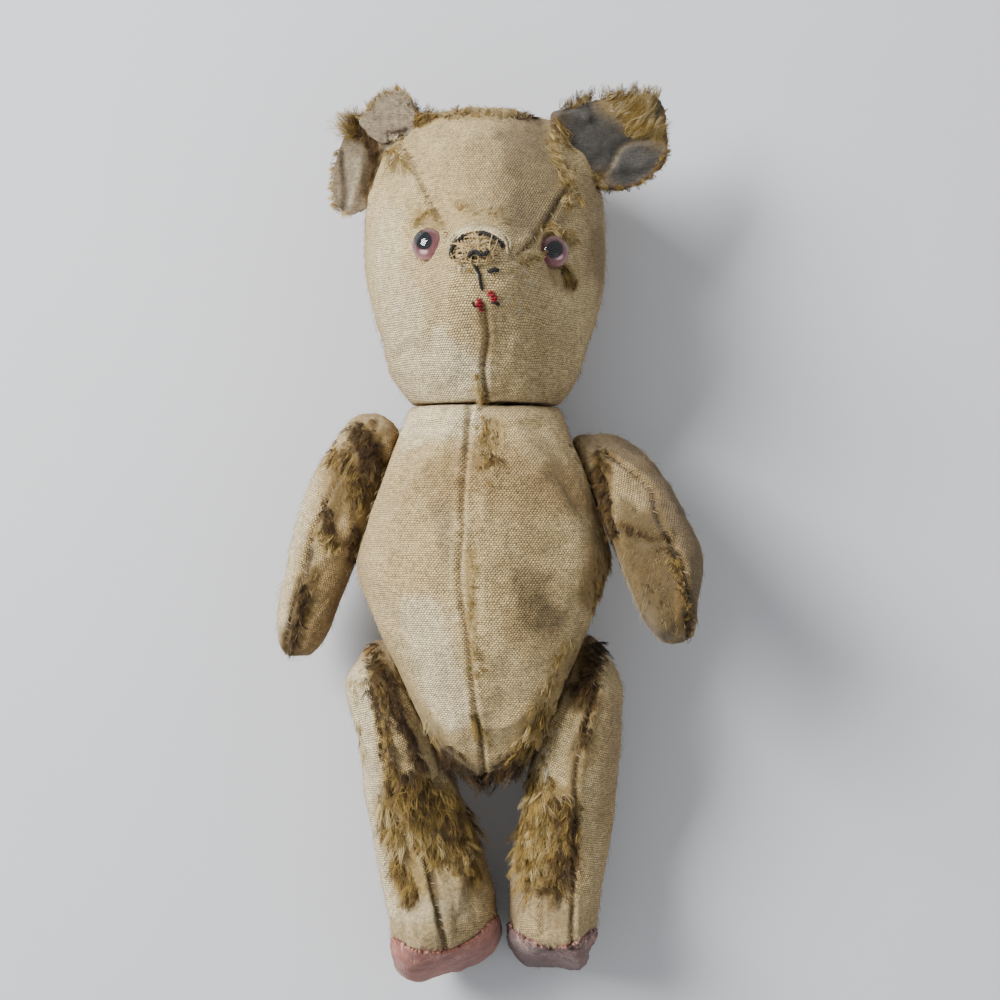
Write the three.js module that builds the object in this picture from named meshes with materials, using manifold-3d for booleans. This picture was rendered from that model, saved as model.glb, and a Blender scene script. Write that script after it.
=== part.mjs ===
// A worn five-joint teddy bear, lying on its back.
// Millimetres. +X is the bear's left, +Y points from its feet to its head, +Z is up, out of its belly.
// The origin is under the middle of the bear, on the surface that it lies on.
//
// Head, arms and legs each turn on a cotter pin that clamps two card discs together, one inside the
// torso and one inside the limb. Every stuffed form is a cloth shell, cut into its sewn panels, round
// a core of stuffing with a pocket for the joint's hardware.

import * as THREE from 'three';
import { mergeVertices } from 'three/addons/utils/BufferGeometryUtils.js';
import Module from 'manifold-3d';

const wasm = await Module();
wasm.setup();

// ---------------------------------------------------------------- driving dimensions

const CLOTH = 2; // plush cloth, backing and worn pile together
const GAP = 0.3; // between pieces that touch
const FAR = 300; // size of the blocks used as cutting tools

const NECK = { at: [0, 35.4, 33], disc: 16, washer: 6, card: 2, pin: 1.2 };
const SHOULDER = { x: 27.6, y: 17.4, z: 28, tilt: 20, disc: 7.2, washer: 4.2, card: 1.6, pin: 0.9 };
const HIP = { x: 21.6, y: -44.2, z: 27, disc: 9.2, washer: 4.8, card: 1.6, pin: 0.9 };
const HIP_TILT = { left: -22, right: -25 };
const ARM_SWING = { left: 34, right: -8 }; // degrees forward of hanging straight down
const LEG_SWING = { left: -5, right: -5 };

const WASHER_THICK = 0.8;
const PIN_EYE = 1.7; // radius of the bend in the cotter pin's eye
const PIN_TAIL = 4.4; // how far each tail is curled out over the washer
const HOLE_PLAY = 0.35; // pin holes are this much wider than the pin

const EYE_RADIUS = 4;
const EYE_FLATTEN = 0.72;
const EYES = { left: [17.3, 73.8], right: [-14.6, 75.2] };

// Stations of each stuffed form, from the top down: distance along the form, sideways centre,
// half width, depth to the front and depth to the back.
const TORSO = [
  [47, 0, 0, 0, 0],
  [44, 0, 12, 12, 12],
  [36, 0, 21.4, 20.5, 22],
  [27, 0, 26.4, 25, 29],
  [16, 0, 31.8, 29, 32.4],
  [2, 0, 35.2, 31.6, 33],
  [-12, 0, 36, 32.4, 33],
  [-26, 0, 33.6, 31, 32],
  [-40, 0, 28, 27, 28.5],
  [-53, 0, 22, 21.5, 23],
  [-64, 0, 13, 13, 14],
  [-70, 0, 5, 5, 6],
  [-71.5, 0, 0, 0, 0],
];
const TORSO_CENTRE = 31; // height of its widest line, so its back is pressed flat by 2 mm

const HEAD = [
  [84, 0, 0, 0, 0],
  [82.8, 0, 13, 9, 9],
  [78, 0, 24, 18.5, 18],
  [68, 0, 30.6, 26.5, 26],
  [56, 0, 34.4, 31.5, 31.5],
  [42, 0, 35.4, 34, 33.6],
  [29, 0, 33.8, 33, 33.4],
  [16, 0, 29.6, 28.5, 29.5],
  [5, 0, 24, 23, 23.5],
  [-4, 0, 16, 16, 16],
  [-9, 0, 0, 0, 0],
];
const MUZZLE = { y: 32, length: 14, halfWidth: 17, halfHeight: 15.5 };

const ARM = {
  left: [
    [11.5, 7.6, 0, 0, 0],
    [10.4, 7.6, 6.6, 6.4, 6.4],
    [6.5, 7.4, 10.6, 10.4, 10.4],
    [-3, 7.6, 12.2, 12, 12],
    [-16, 9, 12.4, 12, 12],
    [-30, 10.6, 12, 11.4, 11.6],
    [-43, 11, 11.4, 10.6, 10.6],
    [-54, 10.4, 9.6, 9.4, 8.8],
    [-60, 10, 6.4, 6.4, 5.6],
    [-62, 10, 0, 0, 0],
  ],
  right: [
    [13.5, 7.4, 0, 0, 0],
    [12, 7.4, 6.6, 7, 7],
    [7.5, 7, 10.2, 10.6, 10.6],
    [-2, 7.2, 11.6, 11.8, 11.8],
    [-15, 8.4, 11, 11.4, 11.6],
    [-30, 9, 9.8, 10.8, 11],
    [-43, 8.8, 8.6, 10, 9.8],
    [-53, 8.2, 7.2, 8.8, 8],
    [-58.5, 8, 4.6, 6, 5],
    [-60.5, 8, 0, 0, 0],
  ],
};

// Legs also shear towards the sole, which tips the toes back. The right foot is the broader one.
const LEG = {
  left: [
    [17.5, 7.4, 0, 0, 0],
    [15.5, 7.4, 7, 8.4, 8.4],
    [9.5, 7.2, 10.8, 14, 14],
    [-3, 7.4, 12.2, 17.6, 18],
    [-18, 11, 13, 16.2, 18.2],
    [-32, 14.8, 13, 13.4, 17],
    [-46, 18.2, 12.8, 14, 16.6],
    [-60, 21.6, 13, 19.4, 18],
    [-72, 25.2, 12.8, 22.6, 18.6],
    [-77.4, 26.4, 11.6, 20.4, 16.8],
    [-80, 27, 8, 14.2, 12],
    [-80.8, 27.2, 0, 0, 0],
  ],
  right: [
    [17.5, 7.4, 0, 0, 0],
    [15.5, 7.4, 7, 8.4, 8.4],
    [9.5, 7.2, 10.8, 14, 14],
    [-3, 7.4, 12.2, 17.6, 18],
    [-18, 9.8, 13.2, 16.2, 18.2],
    [-32, 12.4, 14, 13.4, 17],
    [-46, 15.2, 14.6, 14.2, 16.8],
    [-60, 18, 15.4, 19.8, 18.4],
    [-72, 21.4, 15.2, 23, 19],
    [-77.4, 22.8, 13.8, 20.6, 17],
    [-80, 23.6, 9.6, 14.4, 12],
    [-80.8, 24, 0, 0, 0],
  ],
};
const SOLE_TILT = 28; // degrees that the sole leans back from square
const SOLE_SEAM = -76; // where the pad is sewn to the leg
const SHEAR_FROM = -42; // above this the leg isn't sheared

// The belly seam wanders: [along, sideways].
const BELLY_SEAM = [
  [60, -4.4],
  [34, -4.6],
  [18, -6.4],
  [0, -6.8],
  [-20, -5.6],
  [-42, -3.8],
  [-62, 0],
  [-90, 0],
];

// Half of the head gusset's outline, on the face and on the back of the head: [half width, height above
// the neck].
const GUSSET_FRONT = [[5.6, 29], [7.6, 33], [9.6, 40], [13, 49], [18.4, 59], [23, 68], [25, 100]];
const GUSSET_BACK = [[5, -20], [6, 2], [9, 24], [14, 44], [20, 60], [24, 72], [25, 100]];

// ---------------------------------------------------------------- looks

const cloth = (colour, roughness = 0.95) =>
  new THREE.MeshStandardMaterial({ color: colour, roughness, metalness: 0 });
const plush = cloth(0xb59c72);
const plushShade = cloth(0xa58a60);
const plushBrown = cloth(0x8c6d40);
const greyLining = cloth(0x5d5d5c);
const tanLining = cloth(0xa08a6c);
const pinkPad = cloth(0x9a5f55, 0.7);
const blackThread = cloth(0x17130f);
const redThread = cloth(0x8a1c28);
const woodWool = cloth(0xcdb27a);
const greyCard = cloth(0x8a7f70);
const steel = new THREE.MeshStandardMaterial({ color: 0x7f7b76, roughness: 0.45, metalness: 1 });
const pinkGlass = new THREE.MeshStandardMaterial({ color: 0xa3606a, roughness: 0.08, metalness: 0 });

// ---------------------------------------------------------------- solids

/** A closed three.js geometry as a solid that can be joined and cut. */
function solidOf(geometry) {
  const bare = geometry.clone();
  bare.deleteAttribute('normal');
  bare.deleteAttribute('uv');
  const merged = mergeVertices(bare, 1e-4);
  return new wasm.Manifold(new wasm.Mesh({
    numProp: 3,
    vertProperties: new Float32Array(merged.attributes.position.array),
    triVerts: new Uint32Array(merged.index.array),
  }));
}

/** A solid as a three.js geometry. */
function geometryOf(solid) {
  const mesh = solid.getMesh();
  const geometry = new THREE.BufferGeometry();
  geometry.setAttribute('position', new THREE.BufferAttribute(new Float32Array(mesh.vertProperties), 3));
  geometry.setIndex(new THREE.BufferAttribute(new Uint32Array(mesh.triVerts), 1));
  geometry.computeVertexNormals();
  return geometry;
}

/** Smooth curves through the stations, one for each column, that all share the distance along. */
function columnsOf(stations) {
  const last = stations[0].length - 1;
  return Array.from({ length: last }, (_, column) =>
    new THREE.SplineCurve(stations.map((s) => new THREE.Vector2(s[0], s[column + 1]))));
}

/**
 * A stuffed form: a ball's net of faces, drawn over oval sections along Y.
 * The ball's uv says which ring and which side of it each vertex belongs to.
 */
function stuffedForm(stations, sides, rings, mirror = 1) {
  const [centre, half, front, back] = columnsOf(stations);
  const geometry = new THREE.SphereGeometry(1, sides, rings);
  const { position, uv } = geometry.attributes;
  for (let i = 0; i < position.count; i++) {
    const along = 1 - uv.getY(i);
    const around = uv.getX(i) * 2 * Math.PI;
    const place = half.getPoint(along);
    const depth = Math.sin(around) > 0 ? front : back;
    position.setXYZ(
      i,
      mirror * centre.getPoint(along).y - Math.max(place.y, 0) * Math.cos(around),
      place.x,
      Math.max(depth.getPoint(along).y, 0) * Math.sin(around),
    );
  }
  return geometry;
}

/** The same closed form with its skin moved inwards. */
function shrunk(geometry, inset) {
  const bare = geometry.clone();
  bare.deleteAttribute('normal');
  bare.deleteAttribute('uv');
  const merged = mergeVertices(bare, 1e-4);
  merged.computeVertexNormals();
  const { position, normal } = merged.attributes;
  for (let i = 0; i < position.count; i++) {
    position.setXYZ(
      i,
      position.getX(i) - inset * normal.getX(i),
      position.getY(i) - inset * normal.getY(i),
      position.getZ(i) - inset * normal.getZ(i),
    );
  }
  return merged;
}

/** Everything on the low side of local z, for a frame given by a matrix. */
function below(matrix, level) {
  const block = new THREE.BoxGeometry(FAR, FAR, FAR).translate(0, 0, level - FAR / 2);
  return solidOf(block.applyMatrix4(matrix));
}

/** Everything on the high side of local z. */
function above(matrix, level) {
  const block = new THREE.BoxGeometry(FAR, FAR, FAR).translate(0, 0, level + FAR / 2);
  return solidOf(block.applyMatrix4(matrix));
}

/** A solid rod along local z. */
function rod(matrix, radius, low, high, sides = 12) {
  const bar = new THREE.CylinderGeometry(radius, radius, high - low, sides);
  bar.rotateX(Math.PI / 2).translate(0, 0, (low + high) / 2);
  return solidOf(bar.applyMatrix4(matrix));
}

/** A block that fills everything on the +X side of a line in the XY plane. */
function rightOfLine(points, shift) {
  const outline = new THREE.Shape(points.map(([y, x]) => new THREE.Vector2(x + shift, y)));
  outline.lineTo(FAR, points.at(-1)[0]);
  outline.lineTo(FAR, points[0][0]);
  const block = new THREE.ExtrudeGeometry(outline, { depth: FAR, bevelEnabled: false });
  return solidOf(block.translate(0, 0, -FAR / 2));
}

const upright = new THREE.Matrix4();

// ---------------------------------------------------------------- joints

/**
 * A joint's frame. Its local z runs out of the torso along the joint's axis, and its origin is on the
 * plane where limb and torso meet.
 */
function jointFrame(point, outward) {
  const turn = new THREE.Quaternion().setFromUnitVectors(new THREE.Vector3(0, 0, 1), outward);
  return new THREE.Matrix4().compose(new THREE.Vector3(...point), turn, new THREE.Vector3(1, 1, 1));
}

/** A limb's frame: Y runs up the limb, Z is the limb's front, and X runs across the joint plane. */
function limbFrame(joint, side, tilt, swing = 0) {
  return new THREE.Matrix4()
    .makeTranslation(side * joint.x, joint.y, joint.z)
    .multiply(new THREE.Matrix4().makeRotationZ(THREE.MathUtils.degToRad(side * tilt)))
    .multiply(new THREE.Matrix4().makeRotationX(THREE.MathUtils.degToRad(-swing)));
}

function outwardOf(side, tilt) {
  const angle = THREE.MathUtils.degToRad(tilt);
  return new THREE.Vector3(side * Math.cos(angle), Math.sin(angle), 0);
}

const joints = {
  neck: { ...NECK, frame: jointFrame(NECK.at, new THREE.Vector3(0, 1, 0)) },
};
for (const [name, side] of [['left', 1], ['right', -1]]) {
  joints[`shoulder_${name}`] = {
    ...SHOULDER,
    frame: jointFrame([side * SHOULDER.x, SHOULDER.y, SHOULDER.z], outwardOf(side, SHOULDER.tilt)),
  };
  joints[`hip_${name}`] = {
    ...HIP,
    frame: jointFrame([side * HIP.x, HIP.y, HIP.z], outwardOf(side, HIP_TILT[name])),
  };
}

/** Heights of the stack on one side of a joint, measured from the joint plane. */
function stack(joint) {
  const cloth = GAP + CLOTH;
  const card = cloth + GAP;
  const washer = card + joint.card + GAP;
  const end = washer + WASHER_THICK + GAP;
  return { cloth, card, washer, end };
}

/** The room that a joint's hardware takes out of a core of stuffing. sign is 1 in the limb. */
function pocket(joint, sign) {
  const { cloth, end } = stack(joint);
  const deep = end + (sign > 0 ? 2 * (PIN_EYE + joint.pin) + 0.8 : PIN_TAIL + 1);
  const wide = rod(joint.frame, joint.disc + 0.6, ...span(sign, cloth - 1, end), 12);
  const reach = Math.max(joint.washer, PIN_TAIL + joint.pin) + 0.9;
  const narrow = rod(joint.frame, reach, ...span(sign, cloth, deep), 12);
  return wide.add(narrow);
}

function span(sign, near, far) {
  return sign > 0 ? [near, far] : [-far, -near];
}

function pinHole(joint) {
  return rod(joint.frame, joint.pin + HOLE_PLAY, -FAR / 20, FAR / 20, 8);
}

/** A flat ring with its hole on the joint's axis. */
function ring(radius, hole, thick, sides) {
  const profile = [[hole, 0], [radius, 0], [radius, thick], [hole, thick], [hole, 0]];
  const lathe = new THREE.LatheGeometry(profile.map(([x, y]) => new THREE.Vector2(x, y)), sides);
  return lathe.rotateX(Math.PI / 2);
}

/** A cotter pin: an eye inside the limb, a shank through the joint and two tails curled over the washer. */
function cotterPin(joint) {
  const { end } = stack(joint);
  const eyeAt = end + PIN_EYE + joint.pin;
  const eye = new THREE.TorusGeometry(PIN_EYE, joint.pin, 5, 10).rotateX(Math.PI / 2).translate(0, 0, eyeAt);
  const shank = rod(upright, joint.pin, -end - 0.6, end + 1.2, 8);
  let pin = solidOf(eye).add(shank);
  for (const sign of [1, -1]) {
    const path = new THREE.CubicBezierCurve3(
      new THREE.Vector3(0, 0, -end),
      new THREE.Vector3(0, 0, -end - 2.6),
      new THREE.Vector3(sign * PIN_TAIL, 0, -end - 3.4),
      new THREE.Vector3(sign * (PIN_TAIL - 0.4), 0, -end - joint.pin),
    );
    const section = new THREE.Shape().absarc(0, 0, joint.pin * 0.7, 0, 2 * Math.PI);
    const tail = new THREE.ExtrudeGeometry(section, {
      steps: 4,
      curveSegments: 3,
      bevelEnabled: false,
      extrudePath: path,
    });
    pin = pin.add(solidOf(tail));
  }
  return geometryOf(pin);
}

/** A group that stands in a joint's frame and holds the hardware on one side of it. */
function hardware(joint, sign, names, withPin) {
  const group = new THREE.Group();
  group.applyMatrix4(joint.frame);
  const { card, washer } = stack(joint);
  const hole = joint.pin + HOLE_PLAY;
  const disc = new THREE.Mesh(ring(joint.disc, hole, joint.card, 18), greyCard);
  disc.name = names.disc;
  disc.position.z = sign > 0 ? card : -card;
  const plate = new THREE.Mesh(ring(joint.washer, hole, WASHER_THICK, 12), steel);
  plate.name = names.washer;
  plate.position.z = sign > 0 ? washer : -washer;
  if (sign < 0) {
    disc.rotation.x = Math.PI;
    plate.rotation.x = Math.PI;
  }
  group.add(disc, plate);
  if (withPin) {
    const pin = new THREE.Mesh(cotterPin(joint), steel);
    pin.name = names.pin;
    group.add(pin);
  }
  return group;
}

function named(name, solid, material) {
  const mesh = new THREE.Mesh(geometryOf(solid), material);
  mesh.name = name;
  return mesh;
}

// ---------------------------------------------------------------- torso

function torso() {
  const form = stuffedForm(TORSO, 24, 13).translate(0, 0, TORSO_CENTRE);
  const all = Object.values(joints);
  let outer = solidOf(form).intersect(above(upright, 0));
  let cavity = solidOf(shrunk(form, CLOTH)).intersect(above(upright, CLOTH));
  let core = solidOf(shrunk(form, CLOTH + GAP)).intersect(above(upright, CLOTH + GAP));
  for (const joint of all) {
    const { cloth, card } = stack(joint);
    outer = outer.intersect(below(joint.frame, -GAP));
    cavity = cavity.intersect(below(joint.frame, -cloth));
    core = core.intersect(below(joint.frame, -card)).subtract(pocket(joint, -1));
  }
  let shell = outer.subtract(cavity);
  for (const joint of all) shell = shell.subtract(pinHole(joint));

  const group = new THREE.Group();
  group.add(
    named('torso_panel_left', shell.intersect(rightOfLine(BELLY_SEAM, GAP / 2)), plush),
    named('torso_panel_right', shell.subtract(rightOfLine(BELLY_SEAM, -GAP / 2)), plushShade),
    named('torso_stuffing', core, woodWool),
  );
  for (const [name, joint] of Object.entries(joints)) {
    group.add(hardware(joint, -1, { disc: `torso_${name}_disc`, washer: `torso_${name}_washer` }, false));
  }
  return group;
}

// ---------------------------------------------------------------- head

/** The head's form from the neck plane up, with the muzzle drawn out of its face. */
function headForm() {
  const form = stuffedForm(HEAD, 24, 16);
  const { position } = form.attributes;
  for (let i = 0; i < position.count; i++) {
    const [x, y, z] = [position.getX(i), position.getY(i), position.getZ(i)];
    if (z > 0) {
      const off = (x / MUZZLE.halfWidth) ** 2 + ((y - MUZZLE.y) / MUZZLE.halfHeight) ** 2;
      const facing = Math.min(1, z / 12);
      position.setZ(i, z + MUZZLE.length * facing * Math.exp(-(off ** 1.3)));
    }
  }
  return form.translate(0, NECK.at[1], NECK.at[2]);
}

/** A prism along Z with the gusset's outline, wider by a margin, on one side of the head's middle. */
function gussetPrism(half, margin, low, high) {
  const edge = new THREE.SplineCurve(half.map(([x, y]) => new THREE.Vector2(x + margin, y - margin)));
  const points = edge.getPoints(9);
  const outline = new THREE.Shape([...points, ...points.toReversed().map((p) => new THREE.Vector2(-p.x, p.y))]);
  const prism = new THREE.ExtrudeGeometry(outline, { depth: high - low, bevelEnabled: false });
  return solidOf(prism.translate(0, NECK.at[1], NECK.at[2] + low));
}

function gussetBlock(margin) {
  const lap = 0.5;
  return gussetPrism(GUSSET_FRONT, margin, -lap, FAR / 3)
    .add(gussetPrism(GUSSET_BACK, margin, -FAR / 3, lap));
}

/** The point on the face straight above a place in the XY plane, and the skin's outward direction there. */
function facePoint(form, [x, y]) {
  const mesh = new THREE.Mesh(form, new THREE.MeshBasicMaterial({ side: THREE.DoubleSide }));
  const ray = new THREE.Raycaster(new THREE.Vector3(x, y, FAR), new THREE.Vector3(0, 0, -1));
  const hit = ray.intersectObject(mesh)[0];
  return { point: hit.point, outward: hit.face.normal.clone() };
}

/** A flattened glass ball that looks out along the skin, sunk a little way into it. */
function eyeGlass(form, place, grow = 0) {
  const { point, outward } = facePoint(form, place);
  const ball = new THREE.SphereGeometry(EYE_RADIUS + grow, 14, 9);
  ball.scale(1, 1, (EYE_RADIUS * EYE_FLATTEN + grow) / (EYE_RADIUS + grow));
  const frame = jointFrame(point.toArray(), outward);
  return ball.translate(0, 0, 1.2).applyMatrix4(frame);
}

/** The wire loop behind a glass eye: a stem with a ring at its end. */
function eyeShank(form, place, grow = 0) {
  const { point, outward } = facePoint(form, place);
  const stem = rod(upright, 0.5 + grow, -6, 1.1 - EYE_RADIUS * EYE_FLATTEN - GAP + grow, 6);
  const loop = new THREE.TorusGeometry(1.3, 0.5 + grow, 5, 8).rotateX(Math.PI / 2).translate(0, 0, -7);
  const frame = jointFrame(point.toArray(), outward);
  return solidOf(geometryOf(stem.add(solidOf(loop))).applyMatrix4(frame));
}

/** A thin piece that lies on the skin of a form, inside an outline in the XY plane. */
function patchOnSkin(form, outline, thick) {
  const prism = new THREE.ExtrudeGeometry(outline, { depth: FAR / 3, bevelEnabled: false, curveSegments: 6 });
  const sheet = solidOf(shrunk(form, -GAP - thick)).subtract(solidOf(shrunk(form, -GAP)));
  return sheet.intersect(solidOf(prism.translate(0, 0, NECK.at[2] + 5)));
}

/** A stroke of thread: a band of even width along a line of points. */
function stroke(points, width) {
  const line = new THREE.CatmullRomCurve3(points.map(([x, y]) => new THREE.Vector3(x, y, 0)));
  const spots = line.getPoints(6);
  const edges = spots.map((p, i) => {
    const along = line.getTangent(i / 6);
    return new THREE.Vector2(-along.y, along.x).multiplyScalar(width / 2);
  });
  const near = spots.map((p, i) => new THREE.Vector2(p.x, p.y).add(edges[i]));
  const far = spots.map((p, i) => new THREE.Vector2(p.x, p.y).sub(edges[i]));
  return new THREE.Shape([...near, ...far.toReversed()]);
}

/** A flap of ear: an outline in its own plane, cupped a little, then set on the head. */
function earFlap(outline, thick, low, place) {
  const edge = new THREE.SplineCurve(outline.map(([x, y]) => new THREE.Vector2(x, y)));
  const shape = new THREE.Shape(edge.getPoints(24));
  const flap = new THREE.ExtrudeGeometry(shape, { depth: thick, bevelEnabled: false, steps: 1 });
  flap.translate(0, 0, low);
  flap.rotateX(THREE.MathUtils.degToRad(place.pitch));
  flap.rotateY(THREE.MathUtils.degToRad(place.yaw));
  return solidOf(flap.translate(...place.at));
}

const EAR_LEFT = {
  outline: [
    [-9, 12],
    [0, 16],
    [14, 18.4],
    [22, 16],
    [25.6, 7],
    [24.4, -3],
    [19, -9.4],
    [10, -11.4],
    [2, -9],
    [-6, -2],
    [-11, 5],
    [-9, 12],
  ],
  place: { at: [26.4, 103.4, 46], pitch: -6, yaw: 16 },
};
const EAR_RIGHT = {
  outline: [
    [9, 12.6],
    [2, 17.4],
    [-6, 15.6],
    [-11.6, 9],
    [-13.4, 3],
    [-15.6, -4],
    [-15.2, -13],
    [-10, -19],
    [-4.4, -16.6],
    [-1.4, -8],
    [6, 1],
    [12, 6],
    [9, 12.6],
  ],
  place: { at: [-26.6, 103.4, 43], pitch: -4, yaw: -20 },
};

function head() {
  const form = headForm();
  const neck = joints.neck;
  const { cloth, card } = stack(neck);
  const eyes = Object.entries(EYES);
  const outer = solidOf(form).intersect(above(upright, 0)).intersect(above(neck.frame, GAP));
  let cavity = solidOf(shrunk(form, CLOTH)).intersect(above(upright, CLOTH));
  cavity = cavity.intersect(above(neck.frame, cloth));
  let core = solidOf(shrunk(form, CLOTH + GAP)).intersect(above(upright, CLOTH + GAP));
  core = core.intersect(above(neck.frame, card)).subtract(pocket(neck, 1));
  let shell = outer.subtract(cavity).subtract(pinHole(neck));
  for (const [, place] of eyes) {
    const socket = solidOf(eyeGlass(form, place, GAP)).add(eyeShank(form, place, GAP));
    shell = shell.subtract(socket);
    core = core.subtract(socket);
  }

  const sides = shell.subtract(gussetBlock(GAP));
  const half = [[FAR, 0], [-FAR, 0]];
  const group = new THREE.Group();
  group.add(
    named('head_side_left', sides.intersect(rightOfLine(half, GAP / 2)), plush),
    named('head_side_right', sides.subtract(rightOfLine(half, -GAP / 2)), plushShade),
    named('head_gusset', shell.intersect(gussetBlock(0)), plush),
    named('head_stuffing', core, woodWool),
  );
  for (const [name, place] of eyes) {
    group.add(
      named(`eye_${name}`, solidOf(eyeGlass(form, place)), pinkGlass),
      named(`eye_${name}_shank`, eyeShank(form, place), steel),
    );
  }

  const clear = solidOf(shrunk(form, -GAP));
  const ears = { left: EAR_LEFT, right: EAR_RIGHT };
  for (const [name, ear] of Object.entries(ears)) {
    const lining = name === 'left' ? greyLining : tanLining;
    const biggest = (solid) => solid.decompose().sort((a, b) => b.volume() - a.volume())[0];
    const back = earFlap(ear.outline, 2, -2, ear.place).subtract(clear);
    const front = earFlap(ear.outline, 1.2, GAP, ear.place).subtract(clear);
    group.add(
      named(`ear_${name}_back`, biggest(back), plushBrown),
      named(`ear_${name}_lining`, biggest(front), lining),
    );
  }

  const nose = new THREE.Shape().absellipse(-1, 72.6, 6.4, 4.2, 0, 2 * Math.PI);
  const mouth = stroke([[-0.8, 67.6], [0, 64], [1.2, 61.2]], 1.4);
  const tongue = stroke([[-2.4, 58.6], [0.2, 59.8], [3, 60]], 2);
  group.add(
    named('nose_stitching', patchOnSkin(form, nose, 0.7), blackThread),
    named('mouth_stitching', patchOnSkin(form, mouth, 0.6), blackThread),
    named('tongue_thread', patchOnSkin(form, tongue, 0.6), redThread),
  );
  group.add(hardware(neck, 1, { disc: 'neck_disc', washer: 'neck_washer', pin: 'neck_pin' }, true));
  return group;
}

// ---------------------------------------------------------------- arms

/** A limb's cloth shell and its core, and the knife that parts its two panels. */
function limb(form, joint, frame) {
  const { cloth, card } = stack(joint);
  const outer = solidOf(form).intersect(above(joint.frame, GAP));
  const cavity = solidOf(shrunk(form, CLOTH)).intersect(above(joint.frame, cloth));
  const core = solidOf(shrunk(form, CLOTH + GAP)).intersect(above(joint.frame, card));
  return {
    shell: outer.subtract(cavity).subtract(pinHole(joint)),
    core: core.subtract(pocket(joint, 1)),
    seam: (middle, shift) => {
      const knife = rightOfLine(middle, shift);
      return solidOf(geometryOf(knife).applyMatrix4(frame));
    },
  };
}

/** The line between the inner and the outer panel, halfway through the limb's thickness. */
function middleLine(stations, side) {
  const line = stations.map(([along, centre]) => [along, side * centre]);
  return [[FAR / 4, line[0][1]], ...line, [-FAR / 2, line.at(-1)[1]]];
}

function splitAcross(parts, stations, side) {
  const middle = middleLine(stations, side);
  const beyond = parts.shell.intersect(parts.seam(middle, GAP / 2));
  const before = parts.shell.subtract(parts.seam(middle, -GAP / 2));
  return side > 0 ? { outer: beyond, inner: before } : { outer: before, inner: beyond };
}

function arm(name, side) {
  const joint = joints[`shoulder_${name}`];
  const frame = limbFrame(SHOULDER, side, SHOULDER.tilt, ARM_SWING[name]);
  const form = stuffedForm(ARM[name], 14, 10, side).applyMatrix4(frame);
  const parts = limb(form, joint, frame);
  const panels = splitAcross(parts, ARM[name], side);
  const group = new THREE.Group();
  group.add(
    named(`arm_${name}_outer`, panels.outer, plush),
    named(`arm_${name}_inner`, panels.inner, plushShade),
    named(`arm_${name}_stuffing`, parts.core, woodWool),
    hardware(joint, 1, {
      disc: `shoulder_${name}_disc`,
      washer: `shoulder_${name}_washer`,
      pin: `shoulder_${name}_pin`,
    }, true),
  );
  return group;
}

// ---------------------------------------------------------------- legs

/** Tips the foot back: below the calf, points further forward sit further up the leg. */
function tipFoot(form) {
  const { position } = form.attributes;
  const full = Math.tan(THREE.MathUtils.degToRad(SOLE_TILT));
  for (let i = 0; i < position.count; i++) {
    const y = position.getY(i);
    const share = THREE.MathUtils.smoothstep(-y, -SHEAR_FROM, -SOLE_SEAM);
    position.setY(i, y + full * share * position.getZ(i));
  }
  return form;
}

function leg(name, side) {
  const joint = joints[`hip_${name}`];
  const frame = limbFrame(HIP, side, HIP_TILT[name], LEG_SWING[name]);
  const stations = LEG[name];
  const form = tipFoot(stuffedForm(stations, 16, 12, side)).applyMatrix4(frame);
  const parts = limb(form, joint, frame);
  const sole = frame.clone()
    .multiply(new THREE.Matrix4().makeTranslation(0, SOLE_SEAM, 0))
    .multiply(new THREE.Matrix4().makeRotationX(Math.PI / 2 - THREE.MathUtils.degToRad(SOLE_TILT)));
  const pad = parts.shell.intersect(above(sole, GAP / 2));
  parts.shell = parts.shell.intersect(below(sole, -GAP / 2));
  const panels = splitAcross(parts, stations, side);
  const group = new THREE.Group();
  group.add(
    named(`leg_${name}_outer`, panels.outer, plush),
    named(`leg_${name}_inner`, panels.inner, plushShade),
    named(`foot_pad_${name}`, pad, pinkPad),
    named(`leg_${name}_stuffing`, parts.core, woodWool),
    hardware(joint, 1, {
      disc: `hip_${name}_disc`,
      washer: `hip_${name}_washer`,
      pin: `hip_${name}_pin`,
    }, true),
  );
  return group;
}

// ---------------------------------------------------------------- the bear

const bear = new THREE.Group();
bear.add(torso(), head(), arm('left', 1), arm('right', -1), leg('left', 1), leg('right', -1));

// The origin goes under the middle of the whole bear.
const box = new THREE.Box3().setFromObject(bear, true);
bear.position.set(-(box.min.x + box.max.x) / 2, -(box.min.y + box.max.y) / 2, -box.min.z);

export default bear;
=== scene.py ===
"""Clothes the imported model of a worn, jointed teddy bear in threadbare mohair cloth.

Lengths in the tables are millimetres on the maker's bench: +X is the bear's left, +Y points from its
feet to its head, +Z is up, out of its belly. row() turns them into metres in the model's own frame.
"Seen" places are where a point appears from straight above, measured on a plane at belly height.
"""

import math

import bmesh
import bpy
import numpy as np
from mathutils import Matrix, Vector
from mathutils.bvhtree import BVHTree


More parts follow.
